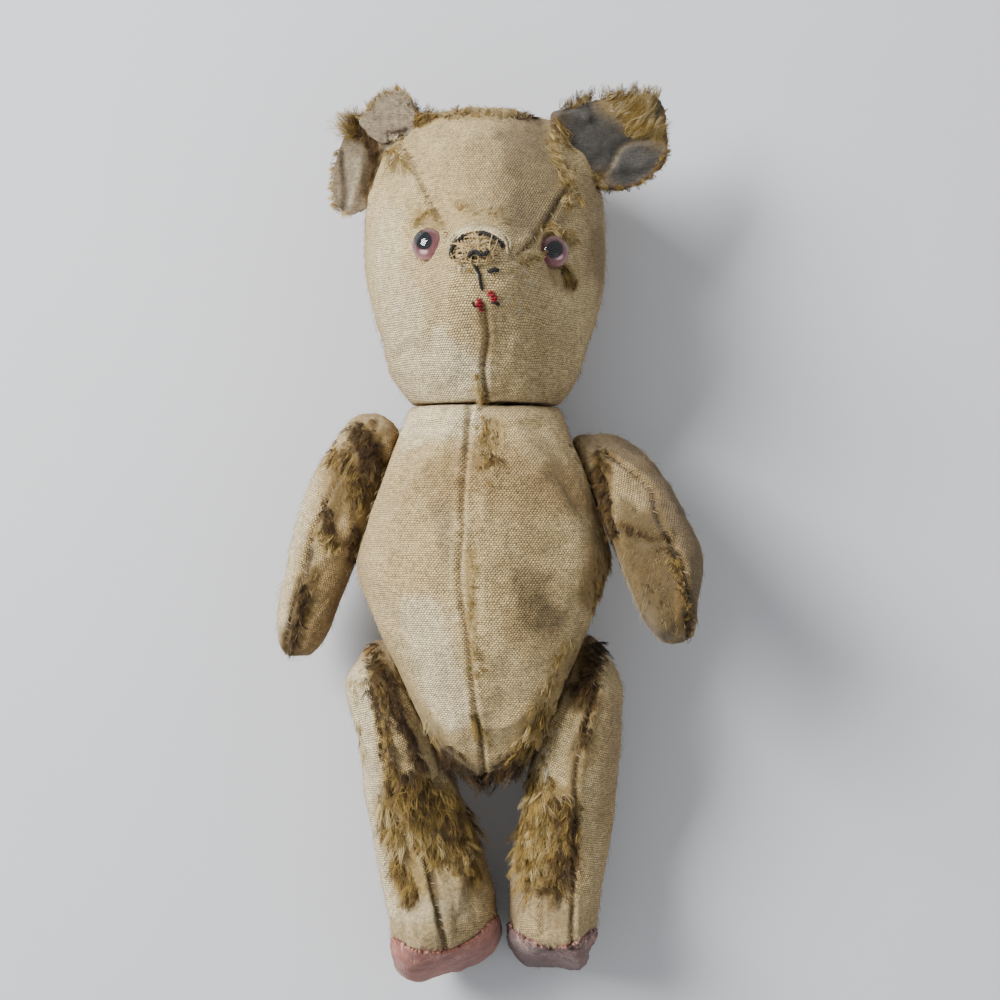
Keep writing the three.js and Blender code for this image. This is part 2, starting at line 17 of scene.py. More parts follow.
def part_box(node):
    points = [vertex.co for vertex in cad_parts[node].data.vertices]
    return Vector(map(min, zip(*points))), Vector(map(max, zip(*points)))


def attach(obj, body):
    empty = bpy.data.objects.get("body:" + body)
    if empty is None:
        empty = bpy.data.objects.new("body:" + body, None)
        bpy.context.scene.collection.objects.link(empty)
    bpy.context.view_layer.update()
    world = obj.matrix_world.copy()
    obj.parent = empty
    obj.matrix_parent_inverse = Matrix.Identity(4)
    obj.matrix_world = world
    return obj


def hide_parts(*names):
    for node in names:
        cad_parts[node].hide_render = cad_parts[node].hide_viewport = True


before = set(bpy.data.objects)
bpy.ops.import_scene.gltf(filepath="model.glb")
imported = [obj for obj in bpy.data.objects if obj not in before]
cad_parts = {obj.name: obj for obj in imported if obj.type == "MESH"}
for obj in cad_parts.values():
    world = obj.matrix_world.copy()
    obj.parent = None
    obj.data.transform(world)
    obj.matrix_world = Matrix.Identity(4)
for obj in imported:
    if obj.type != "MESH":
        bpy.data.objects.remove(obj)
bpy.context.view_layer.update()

bl_info = {
    "name": "Threadbare Jointed Bear",
    "version": (1, 0, 0),
    "blender": (4, 5, 0),
    "location": "3D View > Sidebar > Bear",
    "description": "Clothes a five-way jointed bear in worn mohair, with glass eyes, threads and pile",
    "category": "Object",
}

# ---- bench and frame

MM = 0.001
GAP = 0.3
EYE_LEVEL = np.array([4.2, 9.0, 583.0])  # where the bear is looked at from
BELLY_HEIGHT = 33.0

disc_low, disc_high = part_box("torso_neck_disc")
BENCH = np.array([
    (disc_low.x + disc_high.x) / 2,
    disc_high.y - 32.8 * MM,
    (disc_low.z + disc_high.z) / 2 - BELLY_HEIGHT * MM,
])


def row(places):
    """Bench millimetres as metres in the model's frame."""
    return np.asarray(places, float) * MM + BENCH


def bench(places):
    return (np.asarray(places, float) - BENCH) / MM


def seen(places):
    """Where places appear from above, on the plane at belly height."""
    scale = (EYE_LEVEL[2] - BELLY_HEIGHT) / (EYE_LEVEL[2] - places[:, 2])
    return EYE_LEVEL[:2] + (places[:, :2] - EYE_LEVEL[:2]) * scale[:, None]


# ---- stuffed forms

# Stations from the top down: along, sideways centre, half width, depth to the front, depth to the back.
TORSO = [
    (47, 0, 0, 0, 0), (44, 0, 12, 12, 12), (36, 0, 21.4, 20.5, 22), (27, 0, 26.4, 25, 29),
    (16, 0, 31.8, 29, 32.4), (2, 0, 35.2, 31.6, 33), (-12, 0, 36, 32.4, 33), (-26, 0, 33.6, 31, 32),
    (-40, 0, 28, 27, 28.5), (-53, 0, 22, 21.5, 23), (-64, 0, 13, 13, 14), (-70, 0, 5, 5, 6),
    (-71.5, 0, 0, 0, 0),
]
HEAD = [
    (84, 0, 0, 0, 0), (82.8, 0, 13, 9, 9), (78, 0, 24, 18.5, 18), (68, 0, 30.6, 26.5, 26),
    (56, 0, 34.4, 31.5, 31.5), (42, 0, 35.4, 34, 33.6), (29, 0, 33.8, 33, 33.4),
    (16, 0, 29.6, 28.5, 29.5), (5, 0, 24, 23, 23.5), (-4, 0, 16, 16, 16), (-9, 0, 0, 0, 0),
]
MUZZLE = {"y": 32, "length": 14, "half_width": 17, "half_height": 15.5}
ARM = {
    "left": [
        (11.5, 7.6, 0, 0, 0), (10.4, 7.6, 6.6, 6.4, 6.4), (6.5, 7.4, 10.6, 10.4, 10.4),
        (-3, 7.6, 12.2, 12, 12), (-16, 9, 12.4, 12, 12), (-30, 10.6, 12, 11.4, 11.6),
        (-43, 11, 11.4, 10.6, 10.6), (-54, 10.4, 9.6, 9.4, 8.8), (-60, 10, 6.4, 6.4, 5.6),
        (-62, 10, 0, 0, 0),
    ],
    "right": [
        (13.5, 7.4, 0, 0, 0), (12, 7.4, 6.6, 7, 7), (7.5, 7, 10.2, 10.6, 10.6),
        (-2, 7.2, 11.6, 11.8, 11.8), (-15, 8.4, 11, 11.4, 11.6), (-30, 9, 9.8, 10.8, 11),
        (-43, 8.8, 8.6, 10, 9.8), (-53, 8.2, 7.2, 8.8, 8), (-58.5, 8, 4.6, 6, 5),
        (-60.5, 8, 0, 0, 0),
    ],
}
LEG = {
    "left": [
        (17.5, 7.4, 0, 0, 0), (15.5, 7.4, 7, 8.4, 8.4), (9.5, 7.2, 10.8, 14, 14),
        (-3, 7.4, 12.2, 17.6, 18), (-18, 11, 13, 16.2, 18.2), (-32, 14.8, 13, 13.4, 17),
        (-46, 18.2, 12.8, 14, 16.6), (-60, 21.6, 13, 19.4, 18), (-72, 25.2, 12.8, 22.6, 18.6),
        (-77.4, 26.4, 11.6, 20.4, 16.8), (-80, 27, 8, 14.2, 12), (-80.8, 27.2, 0, 0, 0),
    ],
    "right": [
        (17.5, 7.4, 0, 0, 0), (15.5, 7.4, 7, 8.4, 8.4), (9.5, 7.2, 10.8, 14, 14),
        (-3, 7.4, 12.2, 17.6, 18), (-18, 9.8, 13.2, 16.2, 18.2), (-32, 12.4, 14, 13.4, 17),
        (-46, 15.2, 14.6, 14.2, 16.8), (-60, 18, 15.4, 19.8, 18.4), (-72, 21.4, 15.2, 23, 19),
        (-77.4, 22.8, 13.8, 20.6, 17), (-80, 23.6, 9.6, 14.4, 12), (-80.8, 24, 0, 0, 0),
    ],
}
SOLE_TILT = math.radians(28)
SOLE_SEAM = -76
SHEAR_FROM = -42

NECK = (0, 35.4, 33)
SHOULDER = {"at": (27.6, 17.4, 28), "tilt": {"left": 20, "right": 20}, "swing": {"left": 34, "right": -8}}
HIP = {"at": (21.6, -44.2, 27), "tilt": {"left": -22, "right": -25}, "swing": {"left": -5, "right": -5}}
SIDES = {"left": 1, "right": -1}


def turned(axis, degrees):
    return np.array(Matrix.Rotation(math.radians(degrees), 3, axis))


def unit(directions):
    return directions / np.maximum(np.linalg.norm(directions, axis=-1, keepdims=True), 1e-9)


def curve_through(table, share):
    """Smooth values through a table's rows; share runs from 0 at the first row to 1 at the last."""
    table = np.asarray(table, float)
    last = len(table) - 1
    at = np.clip(share, 0, 1) * last
    start = at.astype(int)
    t = (at - start)[:, None]
    before, here, after, beyond = (table[np.clip(start + k, 0, last)] for k in (-1, 0, 1, 2))
    slope_here = (after - before) / 2
    slope_after = (beyond - here) / 2
    return (
        (2 * here - 2 * after + slope_here + slope_after) * t**3
        + (-3 * here + 3 * after - 2 * slope_here - slope_after) * t**2
        + slope_here * t
        + here
    )


def smoothstep(values, low, high):
    t = np.clip((np.asarray(values, float) - low) / (high - low), 0, 1)
    return t * t * (3 - 2 * t)


def draw_muzzle(local):
    across = local[:, 0] / MUZZLE["half_width"]
    along = (local[:, 1] - MUZZLE["y"]) / MUZZLE["half_height"]
    off = across**2 + along**2
    facing = np.clip(local[:, 2] / 12, 0, 1)
    local[:, 2] += MUZZLE["length"] * facing * np.exp(-(off**1.3))
    return local


def tip_foot(local):
    share = smoothstep(-local[:, 1], -SHEAR_FROM, -SOLE_SEAM)
    local[:, 1] += math.tan(SOLE_TILT) * share * local[:, 2]
    return local


class Form:
    """A stuffed form: oval sections along its axis, cut flat at the walls where it meets another form."""

    def __init__(self, stations, shift, turn=np.eye(3), mirror=1, after=None, walls=()):
        self.stations = np.array(stations, float)
        self.shift = np.array(shift, float)
        self.turn = turn
        self.mirror = mirror
        self.after = after
        self.walls = walls

    def at(self, directions):
        """Bench places of the skin in these directions from the form's middle."""
        d = unit(directions)
        section = curve_through(self.stations, np.arccos(np.clip(d[:, 1], -1, 1)) / math.pi)
        level = np.hypot(d[:, 0], d[:, 2])
        across, deep = (np.where(level > 1e-9, d[:, k] / np.maximum(level, 1e-9), 0) for k in (0, 2))
        depth = np.where(deep > 0, section[:, 3], section[:, 4])
        local = np.stack([
            self.mirror * section[:, 1] + np.maximum(section[:, 2], 0) * across,
            section[:, 0],
            np.maximum(depth, 0) * deep,
        ], 1)
        if self.after:
            local = self.after(local)
        return self.walled(local @ self.turn.T + self.shift)

    def walled(self, places):
        for point, outward in self.walls:
            over = (places - point) @ outward + GAP
            places = places - np.maximum(over, 0)[:, None] * outward
        places[:, 2] = np.maximum(places[:, 2], 0)
        return places


def joint_wall(at, outward):
    outward = np.array(outward, float)
    return np.array(at, float), outward / np.linalg.norm(outward)


def limb_out(side, tilt):
    angle = math.radians(tilt)
    return np.array([SIDES[side] * math.cos(angle), math.sin(angle), 0])


def limb_form(stations, joint, side, after=None):
    sign = SIDES[side]
    at = np.array(joint["at"], float) * (sign, 1, 1)
    tilt, swing = joint["tilt"][side], joint["swing"][side]
    turn = turned("Z", sign * tilt) @ turned("X", -swing)
    return Form(stations, at, turn, sign, after, [joint_wall(at, -limb_out(side, tilt))])


def all_forms():
    walls = [joint_wall(NECK, (0, 1, 0))]
    for joint in (SHOULDER, HIP):
        for side, sign in SIDES.items():
            at = np.array(joint["at"], float) * (sign, 1, 1)
            walls.append(joint_wall(at, limb_out(side, joint["tilt"][side])))
    forms = {
        "torso": Form(TORSO, (0, 0, 31), walls=walls),
        "head": Form(HEAD, NECK, after=draw_muzzle, walls=[joint_wall(NECK, (0, -1, 0))]),
    }
    for side in SIDES:
        forms[f"arm_{side}"] = limb_form(ARM[side], SHOULDER, side)
        forms[f"leg_{side}"] = limb_form(LEG[side], HIP, side, tip_foot)
    return forms


FORMS = all_forms()
CELLS = {
    "torso": (44, 40, 40),
    "head": (40, 36, 38),
    "arm_left": (18, 34, 18),
    "arm_right": (18, 34, 18),
    "leg_left": (22, 44, 26),
    "leg_right": (22, 44, 26),
}
REPLACED = {
    "torso": ("torso_panel_left", "torso_panel_right", "torso_stuffing"),
    "head": ("head_side_left", "head_side_right", "head_gusset", "head_stuffing"),
    **{
        f"{limb}_{side}": tuple(f"{limb}_{side}_{part}" for part in ("outer", "inner", "stuffing"))
        for limb in ("arm", "leg")
        for side in SIDES
    },
}


# ---- smooth random values

random_lattice = np.random.default_rng(7).uniform(-1, 1, 4096)


def rough(places, size, seed=0):
    """Smooth random values from -1 to 1 that change over size, in the places' own unit."""
    q = np.asarray(places, float) / size + seed * 17.31
    cell = np.floor(q).astype(np.int64)
    t = q - cell
    t = t * t * (3 - 2 * t)
    total = 0
    for corner in np.ndindex(*(2,) * q.shape[1]):
        weight = np.ones(len(q))
        key = np.full(len(q), seed * 131)
        for k, (step, prime) in enumerate(zip(corner, (73856093, 19349663, 83492791))):
            weight = weight * (t[:, k] if step else 1 - t[:, k])
            key = key ^ ((cell[:, k] + step) * prime)
        total = total + weight * random_lattice[key % 4096]
    return total


# ---- meshes


def mesh_object(name, mesh):
    thing = bpy.data.objects.new(name, mesh)
    bpy.context.scene.collection.objects.link(thing)
    return thing


def shade_smooth(mesh):
    mesh.polygons.foreach_set("use_smooth", np.ones(len(mesh.polygons), bool))


def applied(thing):
    """Replaces an object's mesh by what its modifiers make of it."""
    depsgraph = bpy.context.evaluated_depsgraph_get()
    finished = bpy.data.meshes.new_from_object(thing.evaluated_get(depsgraph), depsgraph=depsgraph)
    old = thing.data
    thing.modifiers.clear()
    thing.data = finished
    bpy.data.meshes.remove(old)
    finished.name = thing.name


def net_mesh(net, name):
    mesh = bpy.data.meshes.new(name)
    net.to_mesh(mesh)
    net.free()
    return mesh


def read_places(mesh, key="co"):
    """Each vertex's place, or with the key "normal" its outward direction."""
    flat = np.empty(len(mesh.vertices) * 3, np.float32)
    mesh.vertices.foreach_get(key, flat)
    return flat.reshape(-1, 3).astype(float)


def write_places(mesh, places):
    mesh.vertices.foreach_set("co", np.asarray(places, np.float32).ravel())
    mesh.update()


def put_values(mesh, name, values, kind="FLOAT"):
    """Stores one value, direction or colour for each vertex."""
    layer = mesh.attributes.get(name) or mesh.attributes.new(name, kind, "POINT")
    key = {"FLOAT": "value", "FLOAT_VECTOR": "vector", "FLOAT_COLOR": "color"}[kind]
    if kind == "FLOAT_COLOR":
        values = np.concatenate([values, np.ones((len(values), 1))], 1)
    layer.data.foreach_set(key, np.asarray(values, np.float32).ravel())


def corner_vertices(mesh):
    """The vertex at each corner of each face."""
    corners = np.empty(len(mesh.loops), np.int32)
    mesh.loops.foreach_get("vertex_index", corners)
    return corners


def put_panel_uv(mesh, uv):
    """Stores the UV that the weave follows, in metres, one pair for each corner."""
    mesh.uv_layers.new(name="panel").data.foreach_set("uv", uv.astype(np.float32).ravel())


def smooth_places(net, verts):
    bmesh.ops.smooth_vert(net, verts=verts, factor=0.5, use_axis_x=True, use_axis_y=True, use_axis_z=True)


def cube_net(cells):
    """A closed net of four-sided faces over a cube, with its own number of cells along each axis."""
    net = bmesh.new()
    bmesh.ops.create_cube(net, size=2)
    for axis, count in enumerate(cells):
        uncut = [e for e in net.edges if abs(e.verts[0].co[axis] - e.verts[1].co[axis]) > 1]
        bmesh.ops.subdivide_edges(net, edges=uncut, cuts=count - 1, use_grid_fill=True)
    return net


def ball_directions(net, focus):
    """Directions of a net's vertices, spread evenly. focus draws the columns in towards the middle seam."""
    cube = np.array([v.co for v in net.verts])
    inner = np.abs(cube[:, 0]) < 0.999
    cube[inner, 0] = (1 - focus) * cube[inner, 0] + focus * cube[inner, 0] ** 3
    return np.tan(cube * math.pi / 4)


# ---- skins


def srgb(*levels):
    """A colour written as 0 to 255 levels, as light values."""
    c = np.array(levels, float) / 255
    return np.where(c <= 0.04045, c / 12.92, ((c + 0.055) / 1.055) ** 2.4)


class Skin:
    """The cloth round one form, while it is being worked on. Its places are bench millimetres."""

    def __init__(self, name, thing):
        self.name = name
        self.thing = thing
        self.form = FORMS[name]
        self.places = bench(read_places(thing.data))
        ball = np.empty(len(self.places) * 3, np.float32)
        thing.data.attributes["ball"].data.foreach_get("vector", ball)
        self.ball = ball.reshape(-1, 3).astype(float)
        self.refresh()
        self.tone = np.ones((len(self.places), 3))
        self.nap = np.zeros(len(self.places))

    def refresh(self):
        write_places(self.thing.data, row(self.places))
        self.normals = read_places(self.thing.data, "normal")
        self.seen = seen(self.places)
        self.facing = np.sum(self.normals * unit(EYE_LEVEL - self.places), 1)
        count = len(self.thing.data.polygons)
        corners = np.empty(count * 4, np.int32)
        self.thing.data.polygons.foreach_get("vertices", corners)
        self.faces = corners.reshape(-1, 4)
        self.tree = BVHTree.FromPolygons(self.places.tolist(), self.faces.tolist())

    def push(self, amount):
        self.places = self.places + self.normals * np.asarray(amount)[:, None]

    def under(self, spots):
        """The skin's places and outward directions right under seen spots; misses are left out."""
        origin = Vector(EYE_LEVEL)
        found, outward, hits = [], [], []
        for i, (x, y) in enumerate(np.asarray(spots, float)):
            ray = Vector((x, y, BELLY_HEIGHT)) - origin
            place, normal, _, _ = self.tree.ray_cast(origin, ray.normalized())
            if place is not None:
                found.append(place)
                outward.append(normal)
                hits.append(i)
        return np.array(found).reshape(-1, 3), np.array(outward).reshape(-1, 3), np.array(hits, int)

    def line(self, spots, step=0.4):
        """A smooth line through seen spots, laid on the skin."""
        return self.under(resampled(spots, step))[0]


def distances_along(line):
    """How far along a line each of its points is."""
    return np.concatenate([[0], np.cumsum(np.linalg.norm(np.diff(line, axis=0), axis=1))])


def resampled(points, step):
    """A smooth line through points, with even steps."""
    points = np.asarray(points, float)
    if len(points) == 1:
        return points
    rough_line = curve_through(points, np.linspace(0, 1, 24 * len(points)))
    lengths = distances_along(rough_line)
    wanted = np.linspace(0, lengths[-1], max(2, int(lengths[-1] / step) + 1))
    return np.stack([np.interp(wanted, lengths, rough_line[:, k]) for k in range(points.shape[1])], 1)


def reach(places, line, limit):
    """How far each place is from a line, up to a limit, and how far along the line it is."""
    line = np.asarray(line, float)
    lengths = distances_along(line)
    distance = np.full(len(places), float(limit))
    along = np.zeros(len(places))
    near = np.all((places > line.min(0) - limit) & (places < line.max(0) + limit), axis=1)
    rows = np.flatnonzero(near)
    for start in range(0, len(rows), 2000):
        some = rows[start:start + 2000]
        gaps = np.linalg.norm(places[some][:, None, :] - line[None], axis=2)
        nearest = gaps.argmin(1)
        distance[some] = np.minimum(gaps[np.arange(len(some)), nearest], limit)
        along[some] = lengths[nearest]
    return distance, along


def build_skin(name):
    """Makes the cloth of one form: a net drawn over the form, blown up by its stuffing, then made finer."""
    cloth = bpy.context.scene.bear_cloth
    form = FORMS[name]
    net = cube_net(CELLS[name])
    directions = ball_directions(net, cloth.seam_focus)
    places = form.at(directions)
    for vertex, place in zip(net.verts, row(places)):
        vertex.co = place
    unrounded = [v for v in net.verts if near_wall(form, places[v.index], 4)]
    for _ in range(2):
        smooth_places(net, unrounded)
    bmesh.ops.recalc_face_normals(net, faces=net.faces)
    mesh = net_mesh(net, f"{name}_cloth")
    shade_smooth(mesh)
    put_values(mesh, "ball", unit(directions), "FLOAT_VECTOR")
    thing = mesh_object(f"{name}_cloth", mesh)
    blow_up(thing, form)
    finer = thing.modifiers.new("Finer cloth", "SUBSURF")
    finer.levels = 1
    finer.render_levels = 1
    applied(thing)
    return Skin(name, thing)


def near_wall(form, place, margin):
    gaps = [-(place - point) @ outward for point, outward in form.walls] + [place[2]]
    return min(gaps) < margin


STUFFING_FRAMES = 16
CLOTH_MASS = 0.02
CLOTH_STIFFNESS = {"tension": 12, "compression": 12, "shear": 8, "bending": 0.3}


def blow_up(thing, form):
    """Lets the stuffing press the cloth out against its stitched joints, as a cloth simulation with a cap."""
    cloth = bpy.context.scene.bear_cloth
    scene = bpy.context.scene
    before = bench(read_places(thing.data))
    held = thing.vertex_groups.new(name="held")
    held.add([i for i, place in enumerate(before) if near_wall(form, place, 3)], 1, "REPLACE")
    stuffing = thing.modifiers.new("Stuffing", "CLOTH")
    settings = stuffing.settings
    settings.quality = 6
    settings.mass = CLOTH_MASS
    for strain, stiffness in CLOTH_STIFFNESS.items():
        setattr(settings, f"{strain}_stiffness", stiffness)
    settings.shrink_min = -cloth.slack
    settings.use_pressure = True
    settings.uniform_pressure_force = cloth.stuffing_pressure
    settings.effector_weights.gravity = 0
    settings.vertex_group_mass = "held"
    stuffing.point_cache.frame_start = 1
    stuffing.point_cache.frame_end = STUFFING_FRAMES
    for moment in range(1, STUFFING_FRAMES + 1):
        scene.frame_set(moment)
    applied(thing)
    scene.frame_set(1)
    thing.vertex_groups.clear()
    shift = bench(read_places(thing.data)) - before
    length = np.linalg.norm(shift, axis=1)
    cap = cloth.swell / MM
    shift *= (cap * np.tanh(length / cap) / np.maximum(length, 1e-6))[:, None]
    write_places(thing.data, row(before + shift))


# ---- seams

BELLY_SEAM = [
    (-4.4, 36), (-4.8, 28.2), (-5.9, 17.5), (-6.6, 6.2), (-6.6, 0), (-7.3, -8), (-7.2, -16.4),
    (-5.4, -27.7), (-4.2, -37.6), (-3.1, -47.5), (-1.4, -57.3), (-0.4, -66), (0, -72),
]
CHIN_SEAM = [(-0.6, 64), (0.4, 58), (0.6, 54.2), (-0.4, 45.8), (0.5, 36.4)]
GUSSET_SEAM = {
    "right": [(-23.6, 109.4), (-20.1, 101.7), (-16.7, 94.9), (-12.7, 87.6), (-10.4, 82.6)],
    "left": [(25.6, 101.8), (22.9, 96.6), (20.1, 92.1), (16.4, 86), (12.6, 81.4), (9.4, 78.6)],
}
ARM_SEAM = {
    "right": [
        (-36.5, 24), (-39.6, 18.5), (-43.2, 11.9), (-48, 1.1), (-50.6, -9), (-55.1, -25.4), (-55.9, -34.7),
    ],
    "left": [
        (34.2, 22), (41.5, 16.9), (46.9, 11.6), (48.3, 5.9), (51.7, -2), (55.4, -7.9), (57.1, -16.1),
        (59, -22.3), (58.4, -29.4),
    ],
}
LEG_SEAM = {
    "right": [
        (-34.5, -28.8), (-30.6, -50), (-26.8, -70.9), (-24, -84.2), (-17.8, -90.7), (-14.6, -102),
        (-11.3, -117),
    ],
    "left": [
        (31.9, -41.2), (29.4, -51.1), (26.8, -61.6), (25.6, -71), (25.4, -80.8), (24.9, -100.6), (24.6, -117),
    ],
}


def back_line(form):
    """A line down the middle of a form's back."""
    angle = np.linspace(0.05, 0.95, 160) * math.pi
    return form.at(np.stack([0 * angle, np.cos(angle), -np.sin(angle)], 1))


def seams_of(skin):
    """Lines of a skin's seams: the ones seen from above, then the ones at the back."""
    name = skin.name
    back = back_line(skin.form)
    if name == "torso":
        return [skin.line(BELLY_SEAM)], [back]
    if name == "head":
        return [skin.line(CHIN_SEAM), *(skin.line(s) for s in GUSSET_SEAM.values())], []
    part, side = name.split("_")
    spots = (ARM_SEAM if part == "arm" else LEG_SEAM)[side]
    return [skin.line(spots)], [back]


# Parts of a form that are pushed over: seen middle, reach, and shift.
NUDGES = {
    "head": [((-40, 66), 18, (0.4, 0)), ((-36, 96), 10, (0.2, 0))],
    "arm_left": [((30, 35), 8, (0.6, -3.4)), ((44, 33), 10, (2, -6.4)), ((65, -22), 12, (-4.6, 0))],
    "arm_right": [((-46, 30), 9, (1.2, -2))],
    "leg_right": [((-44, -30), 12, (4.6, -2.4)), ((-12, -128), 10, (0, 2.6))],
    "leg_left": [
        ((41, -62), 13, (2.2, 0)), ((42, -33), 11, (-4.4, -2.2)), ((20, -129), 11, (0, 6.6)),
        ((6, -122), 6, (1.6, 2)), ((33, -122), 6, (-2.4, 2.4)),
    ],
}
# Folds and dents in the cloth: seen line, half width, height. Dents are also painted darker, as painted
# shade.
FOLDS = {
    "torso": [
        ([(-34, -9), (-26, -11)], 1, 0.3), ([(-33, -13), (-24, -14.6)], 0.9, 0.28),
        ([(-20, 33), (-8, 31)], 1.2, 0.35), ([(6, 31), (20, 33)], 1.2, 0.35),
        ([(24, -10), (30, -14)], 1, 0.3), ([(-14, -52), (-6, -58)], 1.2, 0.35),
        ([(4, -56), (12, -50)], 1.2, 0.35),
    ],
    "head": [
        ([(-5, 79.2), (2, 79.2)], 4.6, 1.3),
        ([(6.1, 79.8), (10.4, 78.6), (14.3, 78.2)], 0.8, 0.8), ([(8.4, 81), (12.6, 82.6)], 0.8, 0.6),
        ([(-10.4, 75.9), (-7.8, 74.8), (-4.6, 74.5)], 0.9, 0.8),
        ([(4.2, 74), (6.5, 74.7), (8.9, 76.2)], 0.8, 0.6),
        ([(6.6, 77.4), (10, 76.2), (13, 76.6)], 0.7, -0.5),
        ([(-9, 71), (-10.4, 60), (-8, 48)], 1.6, 0.45), ([(7, 71), (9, 60), (7.6, 48)], 1.6, 0.4),
        ([(-20, 72), (-22, 60)], 2.2, 0.4), ([(17, 68), (19, 56)], 2.2, 0.4),
    ],
    "arm_left": [
        ([(33.6, 0.8), (42, -1.8), (53, -2.8)], 1.1, -1.2), ([(35, 3.8), (43, 1.4), (52, 0.4)], 2, 0.7),
        ([(36.4, 8.9), (40.6, 5)], 0.45, -0.8), ([(37.4, 9.6), (41.6, 6.2)], 0.5, 0.55),
        ([(44, 17), (52, 6)], 2.6, 0.5), ([(57, -24), (58, -30)], 1.1, -1),
    ],
    "arm_right": [
        ([(-42.4, -4.2), (-36, -3.2), (-31, 1.4)], 1.1, -1.2), ([(-43, -1.4), (-38, 0)], 1.6, 0.7),
        ([(-53, -14), (-55.6, -32)], 1.3, -0.8), ([(-49, -6), (-50.6, -13)], 0.8, -0.8),
    ],
    "leg_right": [
        ([(-15.6, -93), (-14, -104), (-11.8, -117)], 1.2, -1.4), ([(-19.8, -106), (-19.2, -116)], 0.8, -0.6),
        ([(-24, -108), (-23.4, -115)], 0.8, -0.5), ([(-8.6, -104), (-7.6, -114)], 0.8, -0.6),
        ([(-4, -103), (-2.6, -111)], 0.7, -0.5), ([(-25.5, -52), (-21, -68)], 2.4, 0.9),
        ([(-20, -72), (-12, -71)], 1.4, -0.8), ([(-6, -84), (-2, -90)], 1.6, -0.7),
    ],
    "leg_left": [
        ([(15.6, -105.6), (15.6, -114)], 0.9, -1.3), ([(22.4, -99), (21.2, -106)], 0.9, -0.8),
        ([(26, -58.4), (25, -62)], 1.3, -1.1), ([(20, -52), (17, -66)], 2.4, 0.8),
        ([(12, -73), (20, -71.5)], 1.2, -0.8), ([(8, -104), (9, -111)], 0.8, -0.5),
    ],
}


def sculpt(skin):
    """Pushes the form over where it leans, then raises its folds and sinks its dents, painting shade into the
    dents.
    """
    for middle, span, shift in NUDGES.get(skin.name, ()):
        share = np.exp(-(np.linalg.norm(skin.seen - middle, axis=1) / span) ** 2)
        skin.places[:, :2] += share[:, None] * shift
    skin.refresh()
    for spots, width, height in FOLDS.get(skin.name, ()):
        distance, _ = reach(skin.seen, resampled(spots, 0.5), 3.5 * width)
        wavy = 1 + 0.35 * rough(skin.places, 3, 43)
        raised = np.exp(-((distance / (width * wavy)) ** 2)) * smoothstep(skin.facing, -0.05, 0.3)
        skin.push(height * raised)
        # Dents and creases are painted darker too: painted shade in the fold.
        if height < 0:
            skin.tone *= (1 + 0.28 * height * raised)[:, None]


def sew(skin, line, depth, width, pucker, pitch):
    """Draws the cloth in along a seam, and puckers it where the stitches pull."""
    distance, along = reach(skin.places, line, 9)
    wander = rough(skin.places, 5, 3)
    lip = np.exp(-(((distance - 1.9 * width) / (1.1 * width)) ** 2))
    groove = np.exp(-((distance / width) ** 2))
    pull = np.cos(2 * math.pi * along / pitch + 2.2 * wander) * np.exp(-distance / 2.6) * (1 - groove)
    skin.push(-depth * groove + 0.35 * depth * lip * (1 + 0.5 * wander) + pucker * pull)
    # The seam's own dark line, widened into painted shade along the furrow.
    dark = np.exp(-((distance / (0.62 * width)) ** 2))
    skin.tone *= (1 - 0.62 * dark)[:, None] ** np.array([0.9, 1.0, 1.15])


# ---- node helpers


def new_group(name, inputs, outputs):
    """An empty shader group with named sockets: (name, kind, default) in, (name, kind) out."""
    group = bpy.data.node_groups.new(name, "ShaderNodeTree")
    for label, kind, default in inputs:
        socket = group.interface.new_socket(name=label, in_out="INPUT", socket_type=f"NodeSocket{kind}")
        if default is not None:
            socket.default_value = default
    for label, kind in outputs:
        group.interface.new_socket(name=label, in_out="OUTPUT", socket_type=f"NodeSocket{kind}")
    return group


